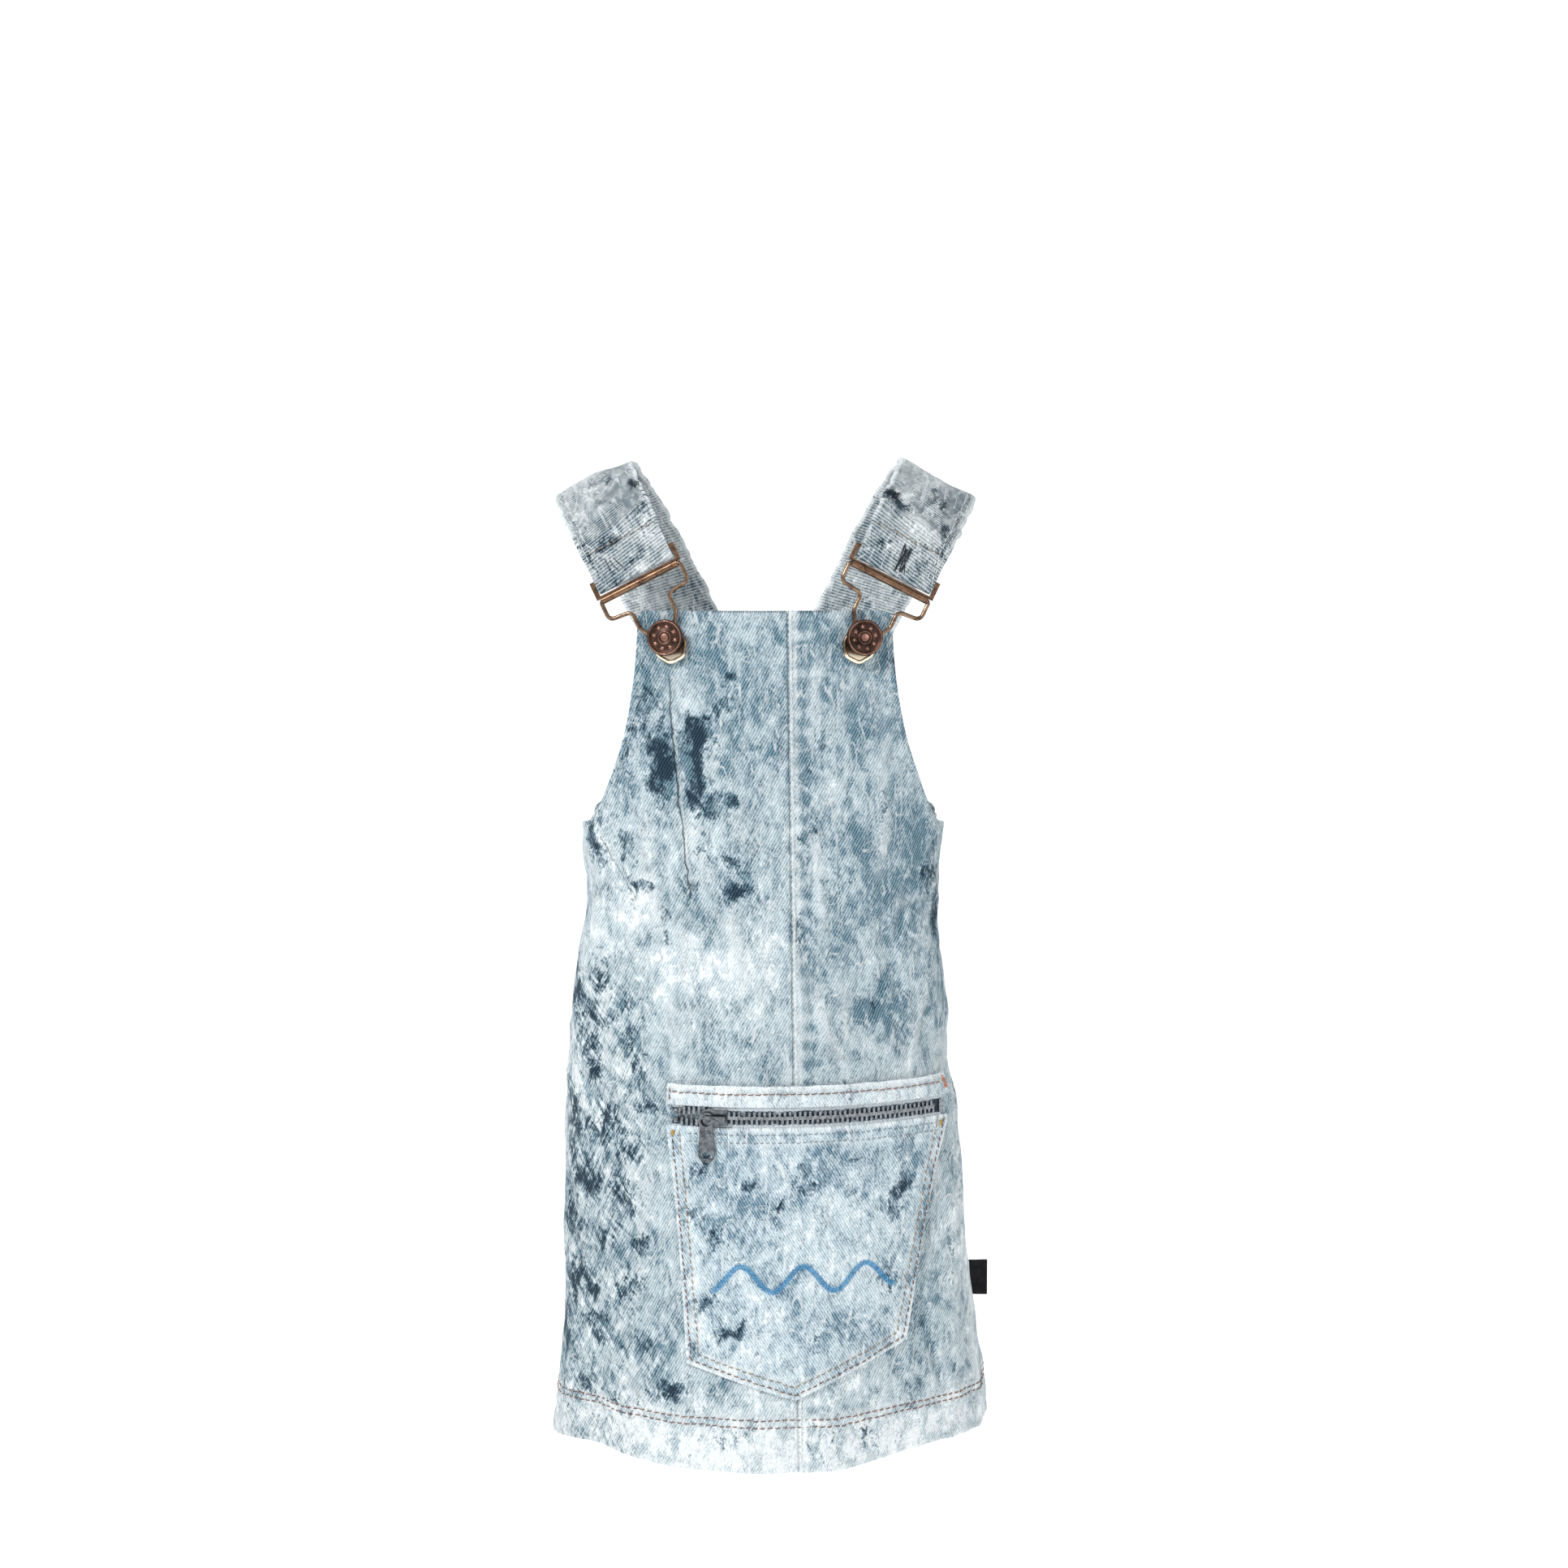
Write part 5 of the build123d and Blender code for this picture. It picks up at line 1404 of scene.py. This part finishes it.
    def surface(dist, a):
        """Outer face and normal at a distance along and a place across."""
        k = np.clip(np.interp(dist, d, np.arange(len(d))), 0, len(d) - 1.001)
        j = np.clip(np.interp(a, across, np.arange(len(across))), 0, len(across) - 1.001)
        i0, j0 = k.astype(int), j.astype(int)
        f, g = (k - i0)[:, None], (j - j0)[:, None]
        near = outer[i0, j0] * (1 - f) + outer[i0 + 1, j0] * f
        far = outer[i0, j0 + 1] * (1 - f) + outer[i0 + 1, j0 + 1] * f
        return near * (1 - g) + far * g, normals[i0, j0]

    rng = np.random.RandomState(seed)
    chunks = []
    for row in STRAP_ROWS:
        dist = np.arange(run[turn_end] + 3, run[-1] - 6, 0.9)
        p, n = surface(dist, row / STRAP_HALF + 0 * dist)
        chunks += stitch_chunks(p, n, rng, length=2.6, radius=0.26, sink=0.15)
    add_piece("stitches", chunks, PALE_THREAD)
    dist = np.full(70, seam_at)
    p, n = surface(dist, np.linspace(-0.93, 0.93, 70))
    add_piece("end_stitches", stitch_chunks(p, n, rng, length=2.4, radius=0.2, sink=0.1), TAN_THREAD)
    chunks = []
    for sign in (-1, 1):
        dist = np.arange(run[turn_end] + 14, run[-1] - 4, 0.5)
        p, n = surface(dist, sign * 0.999 + 0 * dist)
        outwards = np.cross(unit(np.gradient(p, axis=0)), n) * sign * (-1 if mirror else 1)
        centre_line, _ = surface(dist, 0 * dist)
        if np.mean(np.sum(outwards * (p - centre_line), 1)) < 0:
            outwards = -outwards
        chunks += fibres(p, n, outwards, rng, 190 if sign > 0 else 60, 1.5, 0.05)
    add_piece("fray", chunks, WHITE_FIBRE)
    marks = []
    for dist0, a0, long, count in STRAP_MARKS[side_name]:
        for k in range(count):
            a = a0 + (k / max(1, count - 1) - 0.5) * 0.22 + rng.normal(0, 0.02)
            dist = np.linspace(dist0 - long / 2, dist0 + long / 2, 8) + run[turn_end] + rng.normal(0, 0.7)
            p, n = surface(dist, a + 0 * dist + np.linspace(-0.05, 0.05, 8) * rng.normal(0, 1))
            arc = np.sin(np.linspace(0, math.pi, 8))
            marks.append(tube_path(p + n * (0.05 + 0.45 * arc * rng.uniform(0.5, 1.2))[:, None], 0.2, 5))
    add_piece("mending", marks, DARK_THREAD)
    for piece in pieces:
        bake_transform(piece)


# ---------------------------------------------------------------- button faces
def revolve(profile, turns=72):
    """A closed solid of revolution about the button's axis; the profile starts and ends on the axis."""
    angle = np.arange(turns) * 2 * math.pi / turns
    ring = np.cos(angle)[:, None] * ACROSS + np.sin(angle)[:, None] * UP
    body = [BUTTON_AT + r * ring + w * OUT for r, w in profile[1:-1]]
    first, final = (BUTTON_AT[None] + profile[end][1] * OUT for end in (0, -1))
    verts = np.concatenate([first] + body + [final])
    last, faces = len(verts) - 1, []
    for k in range(turns):
        m = (k + 1) % turns
        faces.append((0, 1 + k, 1 + m))
        for j in range(len(body) - 1):
            a = 1 + j * turns
            faces.append((a + k, a + turns + k, a + turns + m, a + m))
        a = last - turns
        faces.append((last, a + m, a + k))
    return verts, faces


def star(angle):
    """A small raised five-pointed star, with its point turned outwards."""
    centre = BUTTON_AT + 5.15 * (math.cos(angle) * ACROSS + math.sin(angle) * UP)
    spin = angle + np.arange(10) * math.pi / 5
    reach = np.where(np.arange(10) % 2, 0.5, 1.2)
    rim = centre + reach[:, None] * (np.cos(spin)[:, None] * ACROSS + np.sin(spin)[:, None] * UP)
    tip, root = (centre + 7.42 * OUT)[None], (centre + 7.0 * OUT)[None]
    verts = np.concatenate((rim + 7.0 * OUT, rim + 7.2 * OUT, tip, root))
    faces = []
    for k in range(10):
        m = (k + 1) % 10
        faces += [(k, m, m + 10, k + 10), (k + 10, m + 10, 20), (m, k, 21)]
    return verts, faces


CAP_PROFILE = (
    (0, 7.08), (2.1, 7.08), (2.35, 7.2), (2.7, 7.42), (3.0, 7.42), (3.3, 7.2), (3.5, 7.05), (6.7, 7.05),
    (6.95, 7.15), (7.15, 7.4), (7.45, 7.55), (8.0, 7.55), (8.35, 7.35), (8.5, 7.0), (8.5, 5.6), (8.3, 5.2),
    (7.9, 4.95), (1.97, 4.9), (1.97, 5.42), (2.9, 5.42), (2.9, 6.3), (0, 6.3),
)
BOSS_PROFILE = ((0, 7.36), (1.45, 7.34), (1.8, 7.26), (1.9, 7.1), (1.9, 6.95), (0, 6.95))
for side_name, mirror in (("left", False), ("right", True)):
    flip = np.array((-1.0, 1.0, 1.0)) if mirror else np.ones(3)
    turn = np.linspace(0, 2 * math.pi, 97)[:, None]
    beads = [
        tube_path(BUTTON_AT + r * (np.cos(turn) * ACROSS + np.sin(turn) * UP) + w * OUT, thick, 8)
        for r, w, thick in ((7.75, 7.52, 0.3), (2.85, 7.4, 0.18))
    ]
    bright = [revolve(BOSS_PROFILE)] + [star(k * math.pi / 4 + 0.2) for k in range(8)] + beads
    for name, chunks, finish, nodes in (
        (f"button_face_{side_name}", [revolve(CAP_PROFILE)], COPPER, (f"button_cap_{side_name}",)),
        (f"button_stars_{side_name}", bright, RUBBED, ()),
    ):
        verts, faces = joined(chunks)
        faces = [f[::-1] for f in faces] if mirror else faces
        obj = new_object(name, verts * flip, faces, finish, smooth=False)
        obj.data.shade_smooth()
        obj.data.set_sharp_from_angle(angle=math.radians(38))
        settle(obj, f"cap_{side_name}", nodes)

# places across, and along from the slide's bar, in mm
STRAP_SPLASHES = {
    "left": (
        (-16.7, 32, 4, 5, 1.1), (-11, 30, 5, 4, 1.1), (-6, 28, 4, 4, 1.0), (15, 25, 4, 4, 1.0),
        (9.4, 45, 5, 6, 0.85), (11.4, 31, 5, 5, 0.85), (0, 50, 8, 6, 0.5), (12, 8, 5, 8, 0.55),
        (-10, 5, 9, 5, 0.6), (4, 2, 14, 3, 0.6),
    ),
    "right": (
        (-18, 43, 4, 5, 1.1), (18.6, 26, 3, 12, 0.85), (7.6, 6, 3, 5, 0.7), (-12, 20, 7, 8, 0.55),
        (6, 19, 8, 5, 0.5), (2, 2, 16, 3, 0.7), (10, 34, 6, 6, 0.5), (-6, 62, 8, 8, 0.6),
    ),
}
# distance from the bar, place across (-1 to 1), length, number of stitches
STRAP_MARKS = {
    "left": ((6.0, 0.04, 12.0, 9), (33.0, -0.82, 6.5, 8)),
    "right": ((43.0, -0.88, 6.0, 7), (6.0, 0.40, 6.0, 3)),
}

strap("left", False, 301)
strap("right", True, 401)


# ---------------------------------------------------------------- floor, light and camera
def plain(name, colour):
    n = Nodes(name)
    return n.finish(
        base_color=(*colour, 1.0), roughness=0.9, emission_color=(1.0, 1.0, 1.0, 1.0), emission_strength=0.4
    )


floor_mesh = bpy.data.meshes.new("floor")
sweep_profile = [(-8.0, 0.0), (3.0, 0.0)]  # a pale floor that curves up behind the object, as (y, z) in metres
sweep_profile += [(3.0 + 3 * math.sin(a), 3 - 3 * math.cos(a)) for a in np.linspace(0.05, math.pi / 2, 24)]
sweep_profile.append((6.0, 7.0))
FLOOR_HALF, FLOOR_Z = 9.0, -0.9
floor_verts = [(side * FLOOR_HALF, py, pz + FLOOR_Z) for py, pz in sweep_profile for side in (-1, 1)]
floor_faces = [(2 * k, 2 * k + 1, 2 * k + 3, 2 * k + 2) for k in range(len(sweep_profile) - 1)]
floor_mesh.from_pydata(floor_verts, [], floor_faces)
floor_mesh.polygons.foreach_set("use_smooth", [True] * len(floor_faces))
floor_mesh.materials.append(plain("Floor_white", (0.97, 0.97, 0.97)))
floor = bpy.data.objects.new("floor", floor_mesh)
link_to_scene(floor)


def area_light(name, place, size, power, aim=(0, 0, -0.25)):
    light = bpy.data.lights.new(name, "AREA")
    light.shape = "DISK"
    light.size, light.energy = size, power
    obj = bpy.data.objects.new(name, light)
    obj.location = place
    obj.rotation_euler = (Vector(aim) - Vector(place)).to_track_quat("-Z", "Y").to_euler()
    link_to_scene(obj)


for light_name, place, size, power in (
    ("key", (-1.25, -1.6, 1.5), 0.5, 47),
    ("fill", (1.6, -1.6, 0.4), 1.2, 8),
    ("back", (0.4, 1.8, 1.2), 1.0, 10),
):
    area_light(light_name, place, size, power)
world = bpy.data.worlds.new("studio")
world.use_nodes = True
sky = world.node_tree.nodes["Background"].inputs
sky[0].default_value = (1, 1, 1, 1)
sky[1].default_value = 0.54
bpy.context.scene.world = world
bpy.context.scene.view_settings.view_transform = "Standard"

camera = bpy.data.cameras.new("camera")
camera.sensor_width = 36.0
camera.lens = 64.4
camera_object = bpy.data.objects.new("camera", camera)
camera_object.location = (0.009, -1.370, 0.030)
camera_object.rotation_euler = (math.radians(90 - 7.35), 0, 0)
link_to_scene(camera_object)
bpy.context.scene.camera = camera_object
